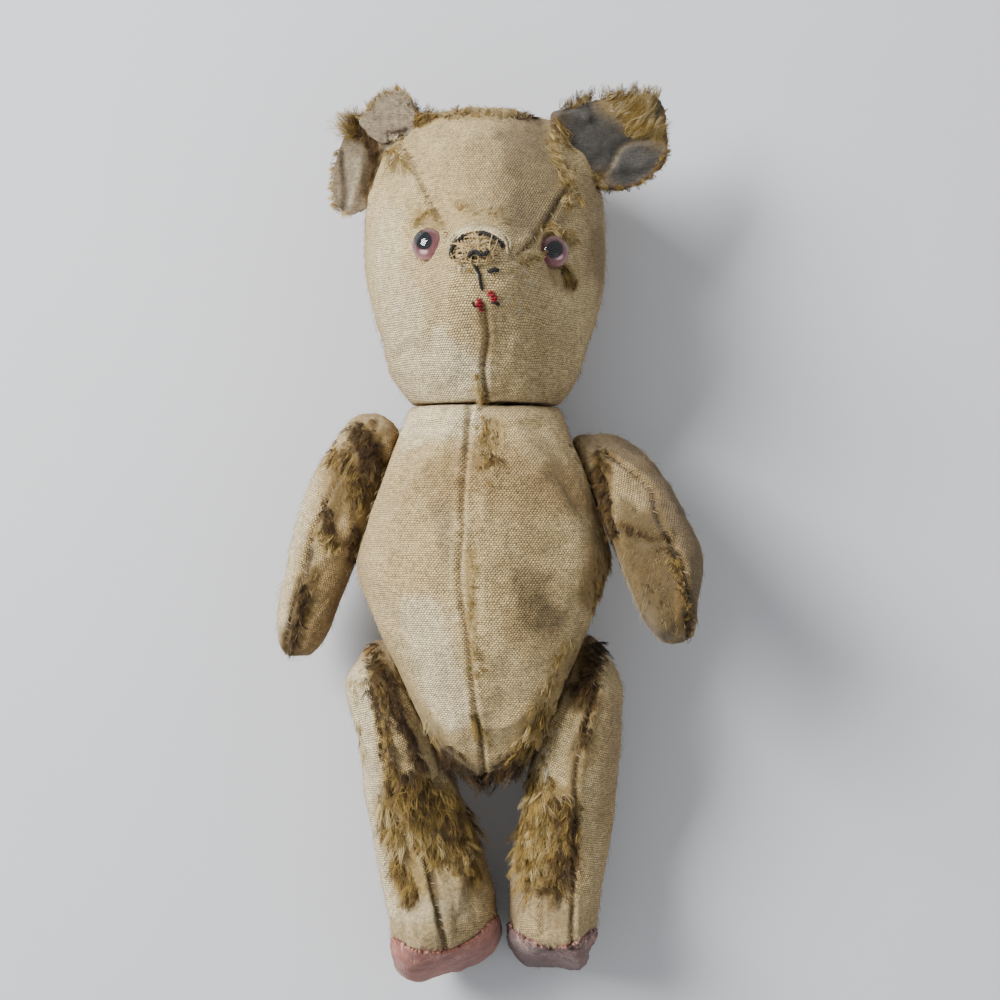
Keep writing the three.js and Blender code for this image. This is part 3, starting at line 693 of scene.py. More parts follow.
class Wiring:
    """Short ways to add nodes to one tree. An argument may be a socket or a plain value."""

    def __init__(self, tree, shader=None):
        self.tree = tree
        self.shader = shader

    def node(self, kind, **settings):
        made = self.tree.nodes.new(kind)
        for key, value in settings.items():
            setattr(made, key, value)
        return made

    def feed(self, socket, value):
        if isinstance(value, bpy.types.NodeSocket):
            self.tree.links.new(value, socket)
        else:
            socket.default_value = value

    def give(self, label, value):
        """Feeds one of the shader's own sockets."""
        self.feed(self.shader.inputs[label], value)

    def math(self, operation, a, b=0.0, clamp=False):
        made = self.node("ShaderNodeMath", operation=operation, use_clamp=clamp)
        for socket, value in zip(made.inputs, (a, b)):
            self.feed(socket, value)
        return made.outputs[0]

    def times(self, a, b):
        return self.math("MULTIPLY", a, b)

    def plus(self, a, b):
        return self.math("ADD", a, b)

    def mix(self, factor, a, b, blend="MIX"):
        made = self.node("ShaderNodeMix", data_type="RGBA", blend_type=blend, clamp_factor=True)
        self.feed(made.inputs["Factor"], factor)
        self.feed(made.inputs[6], a)
        self.feed(made.inputs[7], b)
        return made.outputs[2]

    def blend(self, factor, a, b):
        """Mixes two numbers."""
        made = self.node("ShaderNodeMix", data_type="FLOAT", clamp_factor=True)
        self.feed(made.inputs["Factor"], factor)
        self.feed(made.inputs[2], a)
        self.feed(made.inputs[3], b)
        return made.outputs[0]

    def noise(self, vector, scale, detail=2.0, roughness=0.5, distortion=0.0):
        made = self.node("ShaderNodeTexNoise")
        self.feed(made.inputs["Vector"], vector)
        for label, value in (
            ("Scale", scale), ("Detail", detail), ("Roughness", roughness), ("Distortion", distortion)
        ):
            self.feed(made.inputs[label], value)
        return made.outputs["Fac"]

    def ramp(self, value, low, high, to_low=0.0, to_high=1.0):
        made = self.node("ShaderNodeMapRange", clamp=True)
        for socket, number in zip(made.inputs, (value, low, high, to_low, to_high)):
            self.feed(socket, number)
        return made.outputs[0]

    def attribute(self, name, output="Fac"):
        return self.node("ShaderNodeAttribute", attribute_name=name).outputs[output]

    def place(self):
        return self.node("ShaderNodeTexCoord").outputs["Object"]

    def stretched(self, vector, scale):
        made = self.node("ShaderNodeMapping")
        self.feed(made.inputs["Vector"], vector)
        made.inputs["Scale"].default_value = scale
        return made.outputs[0]

    def group(self, name, **values):
        made = self.node("ShaderNodeGroup", node_tree=shared(name))
        for label, value in values.items():
            self.feed(made.inputs[label.replace("_", " ")], value)
        return made.outputs

    def bump(self, height, distance, strength):
        made = self.node("ShaderNodeBump")
        self.feed(made.inputs["Height"], height)
        made.inputs["Distance"].default_value = distance
        made.inputs["Strength"].default_value = strength
        return made.outputs[0]


def colour4(values):
    return (*[float(v) for v in values], 1.0)


def paint(*levels):
    """A colour written as 0 to 255 levels, for a socket."""
    return colour4(srgb(*levels))


WHITE = (1.0, 1.0, 1.0, 1.0)


def new_material(name, **constants):
    """A Principled material with its constants set, and the wiring to it."""
    material = bpy.data.materials.new(name)
    material.use_nodes = True
    shader = material.node_tree.nodes["Principled BSDF"]
    for label, value in constants.items():
        shader.inputs[label.replace("_", " ")].default_value = value
    return material, Wiring(material.node_tree, shader)


def weave_group():
    """Threads that pass over and under each other, from a panel's own UV in metres."""
    group = new_group(
        "Weave",
        [("Vector", "Vector", None), ("Across", "Float", 1.0), ("Along", "Float", 1.0),
         ("Unevenness", "Float", 0.3)],
        [("Height", "Float"), ("Pinholes", "Float")],
    )
    w = Wiring(group)
    given = w.node("NodeGroupInput").outputs
    drift = w.node("ShaderNodeTexNoise")
    w.feed(drift.inputs["Vector"], given["Vector"])
    drift.inputs["Scale"].default_value = 420
    shift = w.node("ShaderNodeVectorMath", operation="SCALE")
    w.feed(shift.inputs[0], drift.outputs["Color"])
    w.feed(shift.inputs["Scale"], w.times(given["Unevenness"], MM))
    moved = w.node("ShaderNodeVectorMath", operation="ADD")
    w.feed(moved.inputs[0], given["Vector"])
    w.feed(moved.inputs[1], shift.outputs[0])
    parts = w.node("ShaderNodeSeparateXYZ")
    w.feed(parts.inputs[0], moved.outputs[0])
    v = w.math("DIVIDE", parts.outputs[1], w.times(given["Along"], MM))
    odd = w.math("MODULO", w.math("ABSOLUTE", w.math("FLOOR", v)), 2.0)
    u = w.plus(w.math("DIVIDE", parts.outputs[0], w.times(given["Across"], MM)), w.times(odd, 0.5))
    over = w.math("ABSOLUTE", w.math("SINE", w.times(u, math.pi)))
    under = w.math("ABSOLUTE", w.math("SINE", w.times(v, math.pi)))
    height = w.times(w.math("POWER", over, 0.6), w.math("POWER", under, 0.6))
    out = w.node("NodeGroupOutput")
    w.feed(out.inputs["Height"], height)
    w.feed(out.inputs["Pinholes"], w.ramp(height, 0.55, 0.1))
    return group


def fibre_group():
    """Matted fibres: a fine tangle in the cloth's own place."""
    group = new_group(
        "Fibres", [("Vector", "Vector", None), ("Size", "Float", 0.4)],
        [("Height", "Float"), ("Shade", "Float")])
    w = Wiring(group)
    given = w.node("NodeGroupInput").outputs
    scale = w.math("DIVIDE", 1000.0, given["Size"])
    fine = w.noise(given["Vector"], scale, 3.0, 0.65, 1.2)
    clump = w.noise(given["Vector"], w.times(scale, 0.22), 2.0, 0.5, 0.6)
    out = w.node("NodeGroupOutput")
    height = w.plus(w.times(fine, 0.6), w.times(clump, 0.4))
    w.feed(out.inputs["Height"], height)
    w.feed(out.inputs["Shade"], w.ramp(height, 0.36, 0.64))
    return group


def grime_group():
    """Uneven old dirt: broad clouds, blotches and specks, each from 0 to 1."""
    group = new_group("Grime", [("Vector", "Vector", None)], [("Clouds", "Float"), ("Specks", "Float")])
    w = Wiring(group)
    given = w.node("NodeGroupInput").outputs
    broad = w.noise(given["Vector"], 70.0, 4.0, 0.6, 0.4)
    blotch = w.noise(given["Vector"], 260.0, 3.0, 0.6)
    specks = w.noise(given["Vector"], 900.0, 1.0, 0.5)
    out = w.node("NodeGroupOutput")
    both = w.plus(w.times(broad, 0.6), w.times(blotch, 0.4))
    w.feed(out.inputs["Clouds"], w.ramp(both, 0.38, 0.62))
    w.feed(out.inputs["Specks"], w.ramp(specks, 0.66, 0.74))
    return group


GROUPS = {}


def shared(name):
    makers = {"Weave": weave_group, "Fibres": fibre_group, "Grime": grime_group}
    if name not in GROUPS:
        GROUPS[name] = makers[name]()
    return GROUPS[name]


# ---- cloth materials


def worn_cloth(name, across, along, unevenness, pinhole_depth, nap_colour):
    """Mohair cloth worn to its backing. The skin's own tone and nap values say where."""
    material, w = new_material(
        name, Sheen_Weight=0.12, Sheen_Roughness=0.4, Roughness=0.92, Specular_IOR_Level=0.25)
    uv = w.node("ShaderNodeUVMap", uv_map="panel").outputs[0]
    weave = w.group("Weave", Vector=uv, Across=across, Along=along, Unevenness=unevenness)
    fibres = w.group("Fibres", Vector=w.place(), Size=0.42)
    grime = w.group("Grime", Vector=w.place())
    nap = w.attribute("nap")
    bare = w.math("SUBTRACT", 1.0, nap, clamp=True)
    tone = w.attribute("tone", "Color")
    slubs = w.noise(w.stretched(uv, (0.22, 1.0, 1.0)), 1500.0, 2.0, 0.6)
    speckle = w.noise(w.place(), 1000.0, 3.0, 0.75)
    mottle = w.noise(w.place(), 240.0, 3.0, 0.6)
    shade = w.times(w.ramp(slubs, 0.3, 0.7, 0.8, 1.12), w.ramp(speckle, 0.36, 0.64, 0.62, 1.24))
    shade = w.times(shade, w.ramp(mottle, 0.3, 0.7, 0.88, 1.08))
    clouded = w.mix(w.times(grime["Clouds"], 0.3), tone, paint(205, 190, 160), "MULTIPLY")
    fuzzed = w.mix(1.0, clouded, shade, "MULTIPLY")
    holes = w.times(w.times(weave["Pinholes"], bare), pinhole_depth)
    holed = w.mix(holes, fuzzed, paint(70, 54, 34))
    napped = w.mix(w.times(nap, w.blend(fibres["Shade"], 0.9, 0.3)), holed, colour4(nap_colour))
    w.give("Base Color", napped)
    height = w.blend(nap, weave["Height"], fibres["Height"])
    height = w.plus(height, w.times(speckle, 1.1))
    w.give("Normal", w.bump(height, 0.00042, 1.0))
    return material


# ---- painting the skins

CREAM = srgb(236, 210, 152)
SAND = srgb(214, 186, 132)
TAN = srgb(182, 152, 102)
BROWN = srgb(112, 84, 46)
DARK = srgb(50, 34, 18)
# Grey-brown: a stain on the torso, and painted shade on the head's left side, away from the key light.
STAIN_AND_SHADE = srgb(106, 88, 58)
GREY = srgb(160, 140, 104)
GOLD = srgb(140, 116, 66)
# Pale worn cloth made paler still with painted light. It is used only on the bear's right side, towards the
# key light.
PALE_AND_LIT = srgb(248, 230, 184)
# Deep umber plush, darkened further with painted shade on the lower left arm, which lies away from the key
# light.
UMBER_AND_SHADE = srgb(40, 30, 18)
DRAB = srgb(116, 94, 60)


RAGGED = 0.35


def smear(skin, spots, width, colour, strength, nap):
    """Rubs a colour into the cloth along a seen line; nap says how much fuzz is left there."""
    distance, _ = reach(skin.seen, resampled(spots, 1.0), 3 * width)
    wander = 1 + RAGGED * rough(skin.places, 5, 11) + 0.6 * RAGGED * rough(skin.places, 1.8, 12)
    mask = strength * (1 - smoothstep(distance * wander, 0.45 * width, 1.25 * width))
    mask = mask * smoothstep(skin.facing, 0.0, 0.25)
    skin.tone += mask[:, None] * (colour - skin.tone)
    skin.nap += mask / strength * (nap - skin.nap)


def base_tone(skin):
    """The cloth's overall colour: paler where it is handled, browner and more napped in the shelter."""
    wear = smoothstep(skin.facing, -0.1, 0.75)
    clouds = 0.5 + 0.5 * rough(skin.places, 14, 21)
    fine = 0.5 + 0.5 * rough(skin.places, 4, 22)
    bright = np.clip(0.75 * wear + 0.25 * clouds, 0, 1)[:, None]
    skin.tone = TAN + (SAND - TAN) * bright
    skin.tone = skin.tone + (CREAM - skin.tone) * (0.5 * wear * (0.4 + 0.6 * clouds))[:, None]
    skin.nap = np.clip(0.75 - 1.15 * wear + 0.35 * (fine - 0.5), 0, 1)


MARKS = {
    # seen line, half width, colour, strength, nap left
    "torso": [
        ([(-13.5, 13)], 10, TAN, 0.75, 0),
        ([(-6, 18), (8, 15), (24, 10)], 9, TAN, 0.7, 0.1),
        ([(18, 15), (27, 8)], 5, BROWN, 0.45, 0.3),
        ([(2, -5), (6, -6)], 5, CREAM, 0.7, 0),
        ([(6, 10), (10, -10), (14, -26)], 12, TAN, 0.55, 0.05),
        ([(11, -14), (15, -24)], 6, STAIN_AND_SHADE, 0.75, 0.05),
        # Pale cloth with painted light on the lower belly's side towards the key light.
        ([(-18, -24), (-11, -50)], 8, PALE_AND_LIT, 0.8, 0),
        ([(-12, 5), (-10, -7)], 3.5, GREY, 0.6, 0),
        # Pale cloth with painted light across the chest's side towards the key light.
        ([(-24, 30), (-4, 32)], 6, PALE_AND_LIT, 0.85, 0),
        ([(2, 32), (18, 30)], 4, CREAM, 0.5, 0),
        ([(2, 29), (0, 20)], 4, BROWN, 0.55, 0.8),
        ([(31, 26), (33, 0), (30, -18)], 4.5, BROWN, 0.7, 0.9),
        ([(-35, 22), (-37.5, 0), (-35, -20)], 2, TAN, 0.5, 0.5),
        ([(-31, -32), (-22, -48), (-12, -62)], 4, GOLD, 0.6, 0.9),
        ([(24, -34), (18, -46), (9, -60)], 3.5, GOLD, 0.6, 0.9),
        ([(-14, -63), (0, -71.5), (10, -65)], 5, DARK, 1, 1),
        ([(30, -30), (28, -40)], 4.5, DARK, 0.8, 1),
        ([(-33, -30), (-28, -48)], 3, DARK, 0.75, 1),
        ([(-4, -6), (-4, -40)], 1.6, GOLD, 0.5, 0.7),
    ],
    "head": [
        # Painted shade: the top of the head darkens towards the bear's left of the gusset, away from the key
        # light.
        ([(11, 112), (13, 100), (16, 88)], 8.5, STAIN_AND_SHADE, 0.68, 0.1),
        ([(0, 104), (4, 92)], 9, STAIN_AND_SHADE, 0.3, 0),
        # Painted shade down the head's left side, away from the key light.
        ([(32, 96), (33, 80), (31, 68)], 6, STAIN_AND_SHADE, 0.4, 0.15),
        ([(32, 84), (32, 72)], 2.4, BROWN, 0.45, 0.2),
        ([(25, 66), (24, 48)], 8, CREAM, 0.75, 0),
        # Cream cloth, lightened as painted light on the head's right side, towards the key light.
        ([(-26, 100), (-32, 86), (-30, 66)], 7, CREAM, 0.7, 0),
        ([(-8, 104), (-4, 92)], 8, SAND, 0.6, 0),
        ([(-20, 117), (0, 119), (14, 118)], 2.4, GOLD, 0.7, 0.9),
        ([(9, 117.4), (15, 116)], 1.4, DARK, 0.8, 0.6),
        ([(-18, 89), (-13, 87)], 3, BROWN, 0.6, 0.7),
        ([(16, 84), (23, 82)], 3, BROWN, 0.6, 0.7),
        ([(20, 75), (24, 70)], 3.5, DARK, 0.5, 0.8),
        ([(-6, 89), (5, 89)], 3, GOLD, 0.25, 0.4),
        ([(0, 60), (0, 45), (0, 37)], 3, TAN, 0.6, 0.3),
        # Pale cloth with painted light on the cheek, temple and chin towards the key light.
        ([(-24, 62), (-20, 44), (-10, 40)], 7, PALE_AND_LIT, 0.6, 0),
        ([(-27, 88), (-28, 72)], 5, PALE_AND_LIT, 0.6, 0),
        ([(18, 58), (20, 44)], 8, TAN, 0.25, 0),
        # Pale cloth with painted light on the chin's side towards the key light.
        ([(-12, 50), (-4, 44)], 7, PALE_AND_LIT, 0.85, 0),
    ],
    "arm_right": [
        ([(-34, 27), (-39, 20), (-40, 10)], 6, BROWN, 0.85, 0.9),
        ([(-34, 16), (-35, 0)], 6, BROWN, 0.75, 0.8),
        # Dark pile along the inner edge, deepened as painted shade between the arm and the torso.
        ([(-31, 24), (-31, 4)], 3.5, DARK, 0.9, 1),
        ([(-40, 14), (-43.5, 4), (-44, -2)], 2.4, DARK, 0.8, 0.9),
        ([(-40, -6), (-44, -22), (-50, -32)], 6.5, TAN, 0.85, 0.25),
        ([(-38, -10), (-42, -24)], 3, BROWN, 0.6, 0.4),
        ([(-50.4, -14), (-52, -24), (-54.6, -33)], 3.6, DARK, 1, 0.95),
        ([(-49, -5), (-50.6, -13)], 0.9, DARK, 0.9, 0.2),
        # Pale cloth with painted light along the arm's outer edge, towards the key light.
        ([(-50, 14), (-56, -8), (-59, -24)], 3.4, PALE_AND_LIT, 0.7, 0),
    ],
    "arm_left": [
        ([(38, 26), (50, 6), (58, -20)], 13, DRAB, 0.8, 0.1),
        # The top of the arm's inner panel is lighter: painted light where the key light falls.
        ([(38, 17), (42, 7)], 5, SAND, 0.7, 0),
        # Worn dark plush with painted shade over the lower arm, darkest below.
        ([(42, -1), (48, -14), (53, -24)], 10, UMBER_AND_SHADE, 0.85, 0.5),
        ([(40, -6), (44, -16)], 6, UMBER_AND_SHADE, 0.8, 0.6),
        # Dark pile along the inner edge, deepened as painted shade between the arm and the torso.
        ([(33, 22), (34, 6), (38, -8), (42, -20)], 3, DARK, 0.9, 1),
        ([(48, 24), (56, 8), (61, -6), (63, -18)], 4.5, DRAB, 0.6, 0.1),
        ([(55, -8), (57.6, -18), (58, -28)], 1.8, BROWN, 0.9, 0.9),
        ([(38, 24), (46, 20)], 2.6, BROWN, 0.6, 0.5),
    ],
    "leg_right": [
        ([(-33, -30), (-29, -46), (-24, -60), (-18, -72)], 3.4, DARK, 0.85, 1),
        ([(-22, -74), (-8, -82)], 8, BROWN, 0.85, 1),
        ([(-28, -76), (-20, -100)], 5.5, GOLD, 0.7, 0.95),
        ([(-12, -86), (-2, -95)], 7, GOLD, 0.6, 0.7),
        ([(-26, -50), (-21, -66)], 3.2, SAND, 0.85, 0.1),
        ([(-15, -92), (-12.4, -112)], 1.3, DARK, 0.8, 0.5),
        # Pale cloth with painted light down the leg's outer side and across the foot, towards the key light.
        ([(-38, -40), (-34, -78), (-29, -106)], 5, PALE_AND_LIT, 0.95, 0),
        ([(-22, -108), (-8, -106)], 4, PALE_AND_LIT, 0.5, 0.05),
    ],
    "leg_left": [
        ([(33, -27), (31, -36), (27, -48)], 4, DARK, 1, 1),
        ([(31, -44), (28, -58), (25, -70)], 3.4, DARK, 0.6, 0.85),
        ([(16, -74), (14, -88), (18, -98)], 7.5, GOLD, 0.8, 1),
        ([(24, -74), (24.6, -92)], 3, BROWN, 0.8, 0.9),
        ([(20, -56), (17, -68)], 3.4, CREAM, 0.7, 0.05),
        ([(8, -58), (6, -74)], 3.4, DARK, 0.9, 1),
        ([(36, -50), (36, -80)], 5, TAN, 0.6, 0.05),
        ([(8, -100), (20, -110)], 5, TAN, 0.5, 0.1),
    ],
}


def paint_skin(skin):
    base_tone(skin)
    for spots, width, colour, strength, nap in MARKS[skin.name]:
        smear(skin, spots, width, colour, strength, nap)


def store_skin(skin):
    """Writes the finished places, colours and panel UV into the mesh."""
    mesh = skin.thing.data
    write_places(mesh, row(skin.places))
    put_values(mesh, "tone", np.clip(skin.tone, 0, 1), "FLOAT_COLOR")
    put_values(mesh, "nap", np.clip(skin.nap, 0, 1))
    lay_panel_uv(skin)


def lay_panel_uv(skin):
    """Lays the weave straight down each panel: across is the way round from the front seam."""
    stations = skin.form.stations
    share = np.linspace(0, 1, 200)
    profile = curve_through(stations, share)
    radius = np.maximum(0.5 * (profile[:, 2] + profile[:, 3]), 0)
    steps = np.hypot(np.diff(profile[:, 0]), np.diff(radius))
    down = np.concatenate([[0], np.cumsum(steps)])
    d = unit(skin.ball[corner_vertices(skin.thing.data)])
    at = np.arccos(np.clip(d[:, 1], -1, 1)) / math.pi
    around = np.arctan2(d[:, 0], d[:, 2])
    middle = skin.ball[skin.faces].mean(1)
    face_side = np.repeat(np.sign(middle[:, 0]), 4)
    around = np.where(np.sign(around) * face_side < 0, np.where(np.abs(around) > 2, -around, around), around)
    across = around * np.interp(at, share, radius)
    put_panel_uv(skin.thing.data, np.stack([across, -np.interp(at, share, down)], 1) * MM)


# ---- yarn and hair


HAIR_TIP = 0.35  # how thick a hair's tip is, next to its root


class Yarn:
    """Collects lengths of thread or hair, then turns them into one mesh of thin tubes."""

    def __init__(self):
        self.lengths = []

    def add(self, points, radius, tint):
        """One even length of thread."""
        points = np.asarray(points, float)
        self.lengths.append((points, np.full(len(points), radius), np.broadcast_to(tint, (len(points), 3))))

    def add_many(self, paths, radii, tints):
        """Tapered hairs with equal numbers of points; tints run from root to tip."""
        taper = 1 + (HAIR_TIP - 1) * np.linspace(0, 1, paths.shape[1]) ** 1.5
        paths = np.concatenate([paths[..., :2], np.maximum(paths[..., 2:], 0.2)], -1)
        for path, radius, tint in zip(paths, radii, tints):
            self.lengths.append((path, radius * taper, tint))

    def made(self, name, material, sides=3):
        profile = bpy.data.curves.new("profile", "CURVE")
        ring = profile.splines.new("POLY")
        ring.points.add(sides - 1)
        ring.use_cyclic_u = True
        for k, point in enumerate(ring.points):
            angle = 2 * math.pi * k / sides
            point.co = (MM * math.cos(angle), MM * math.sin(angle), 0, 1)
        profile_thing = mesh_object("profile", profile)
        curve = bpy.data.curves.new(name, "CURVE")
        curve.dimensions = "3D"
        curve.bevel_mode = "OBJECT"
        curve.bevel_object = profile_thing
        for points, radii, _ in self.lengths:
            spline = curve.splines.new("POLY")
            spline.points.add(len(points) - 1)
            spline.points.foreach_set(
                "co", np.concatenate([row(points), np.ones((len(points), 1))], 1).astype(np.float32).ravel())
            spline.points.foreach_set("radius", np.asarray(radii, np.float32))
        curve_thing = mesh_object(name, curve)
        depsgraph = bpy.context.evaluated_depsgraph_get()
        mesh = bpy.data.meshes.new_from_object(curve_thing.evaluated_get(depsgraph), depsgraph=depsgraph)
        for thing in (curve_thing, profile_thing):
            data = thing.data
            bpy.data.objects.remove(thing)
            bpy.data.curves.remove(data)
        net = bmesh.new()
        net.from_mesh(mesh)
        bmesh.ops.holes_fill(net, edges=[edge for edge in net.edges if edge.is_boundary], sides=sides)
        bmesh.ops.recalc_face_normals(net, faces=net.faces)
        net.to_mesh(mesh)
        net.free()
        tint = np.concatenate([np.repeat(t, sides, axis=0) for _, _, t in self.lengths])
        if len(tint) != len(mesh.vertices):
            raise RuntimeError(f"{name}: {len(tint)} colours for {len(mesh.vertices)} vertices")
        mesh.materials.clear()
        mesh.materials.append(material)
        shade_smooth(mesh)
        put_values(mesh, "tint", tint, "FLOAT_COLOR")
        mesh.name = name
        return mesh_object(name, mesh)


LOT_TRIANGLES = 180000


def plant(yarn, name, material, body):
    """Makes a yarn in as many pieces as keep each one light, and rides them on their body."""
    lots, load = [Yarn()], 0
    for length in yarn.lengths:
        load += 6 * (len(length[0]) - 1) + 2
        if load > LOT_TRIANGLES:
            lots.append(Yarn())
            load = 0
        lots[-1].lengths.append(length)
    for order, lot in enumerate(lots, 1):
        thing = lot.made(name if order == 1 else f"{name}_{order}", material)
        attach(thing, body)


def hair_material(name, roughness=0.5, sheen=0.06):
    """Mohair or thread: each length has its own tint, paler towards its tip."""
    material, w = new_material(
        name, Roughness=roughness, Sheen_Weight=sheen, Sheen_Roughness=0.35, Specular_IOR_Level=0.35)
    tint = w.attribute("tint", "Color")
    streak = w.noise(w.place(), 1500.0, 2.0, 0.6)
    streaked = w.mix(0.5, tint, w.mix(streak, paint(150, 140, 120), WHITE), "MULTIPLY")
    w.give("Base Color", streaked)
    w.give("Normal", w.bump(streak, 0.0001, 0.5))
    return material


ALMOST_UP = np.array([0.05, 0.02, 1.0])


def plied(path, radius, plies, pitch):
    """The twisted strands of a thread along a path."""
    tangent = unit(np.gradient(path, axis=0))
    side = unit(np.cross(tangent, ALMOST_UP))
    top = np.cross(side, tangent)
    steps = distances_along(path)
    off = radius * 0.5
    for k in range(plies):
        angle = 2 * math.pi * (steps / pitch + k / plies)
        yield path + off * (np.cos(angle)[:, None] * side + np.sin(angle)[:, None] * top)


def lock_paths(roots, outward, lean, length, lift, curl, rng, points):
    """Hairs from roots: they stand out along outward, lean over, and curl to the side."""
    count = len(roots)
    t = np.linspace(0, 1, points)[None, :, None]
    side = np.cross(outward, lean)
    phase = rng.uniform(0, 2 * math.pi, (count, 1, 1))
    wave = np.sin(phase + t * 5.5) - np.sin(phase)
    rise = lift[:, None, None] * (t - 0.42 * t**2)
    paths = (
        roots[:, None, :]
        + length[:, None, None] * (
            outward[:, None, :] * rise
            + lean[:, None, :] * (0.25 * t + 0.75 * t**1.5)
            + side[:, None, :] * curl[:, None, None] * 0.16 * wave
        )
    )
    return paths


# ---- pile

HAIR = {
    "dark": (srgb(34, 22, 8), srgb(88, 62, 28)),
    "brown": (srgb(64, 46, 20), srgb(126, 96, 46)),
    "gold": (srgb(108, 86, 36), srgb(188, 154, 78)),
    "pale": (srgb(158, 132, 78), srgb(232, 208, 150)),
    "white": (srgb(190, 174, 138), srgb(246, 234, 204)),
    "pink": (srgb(110, 52, 48), srgb(190, 120, 110)),
}
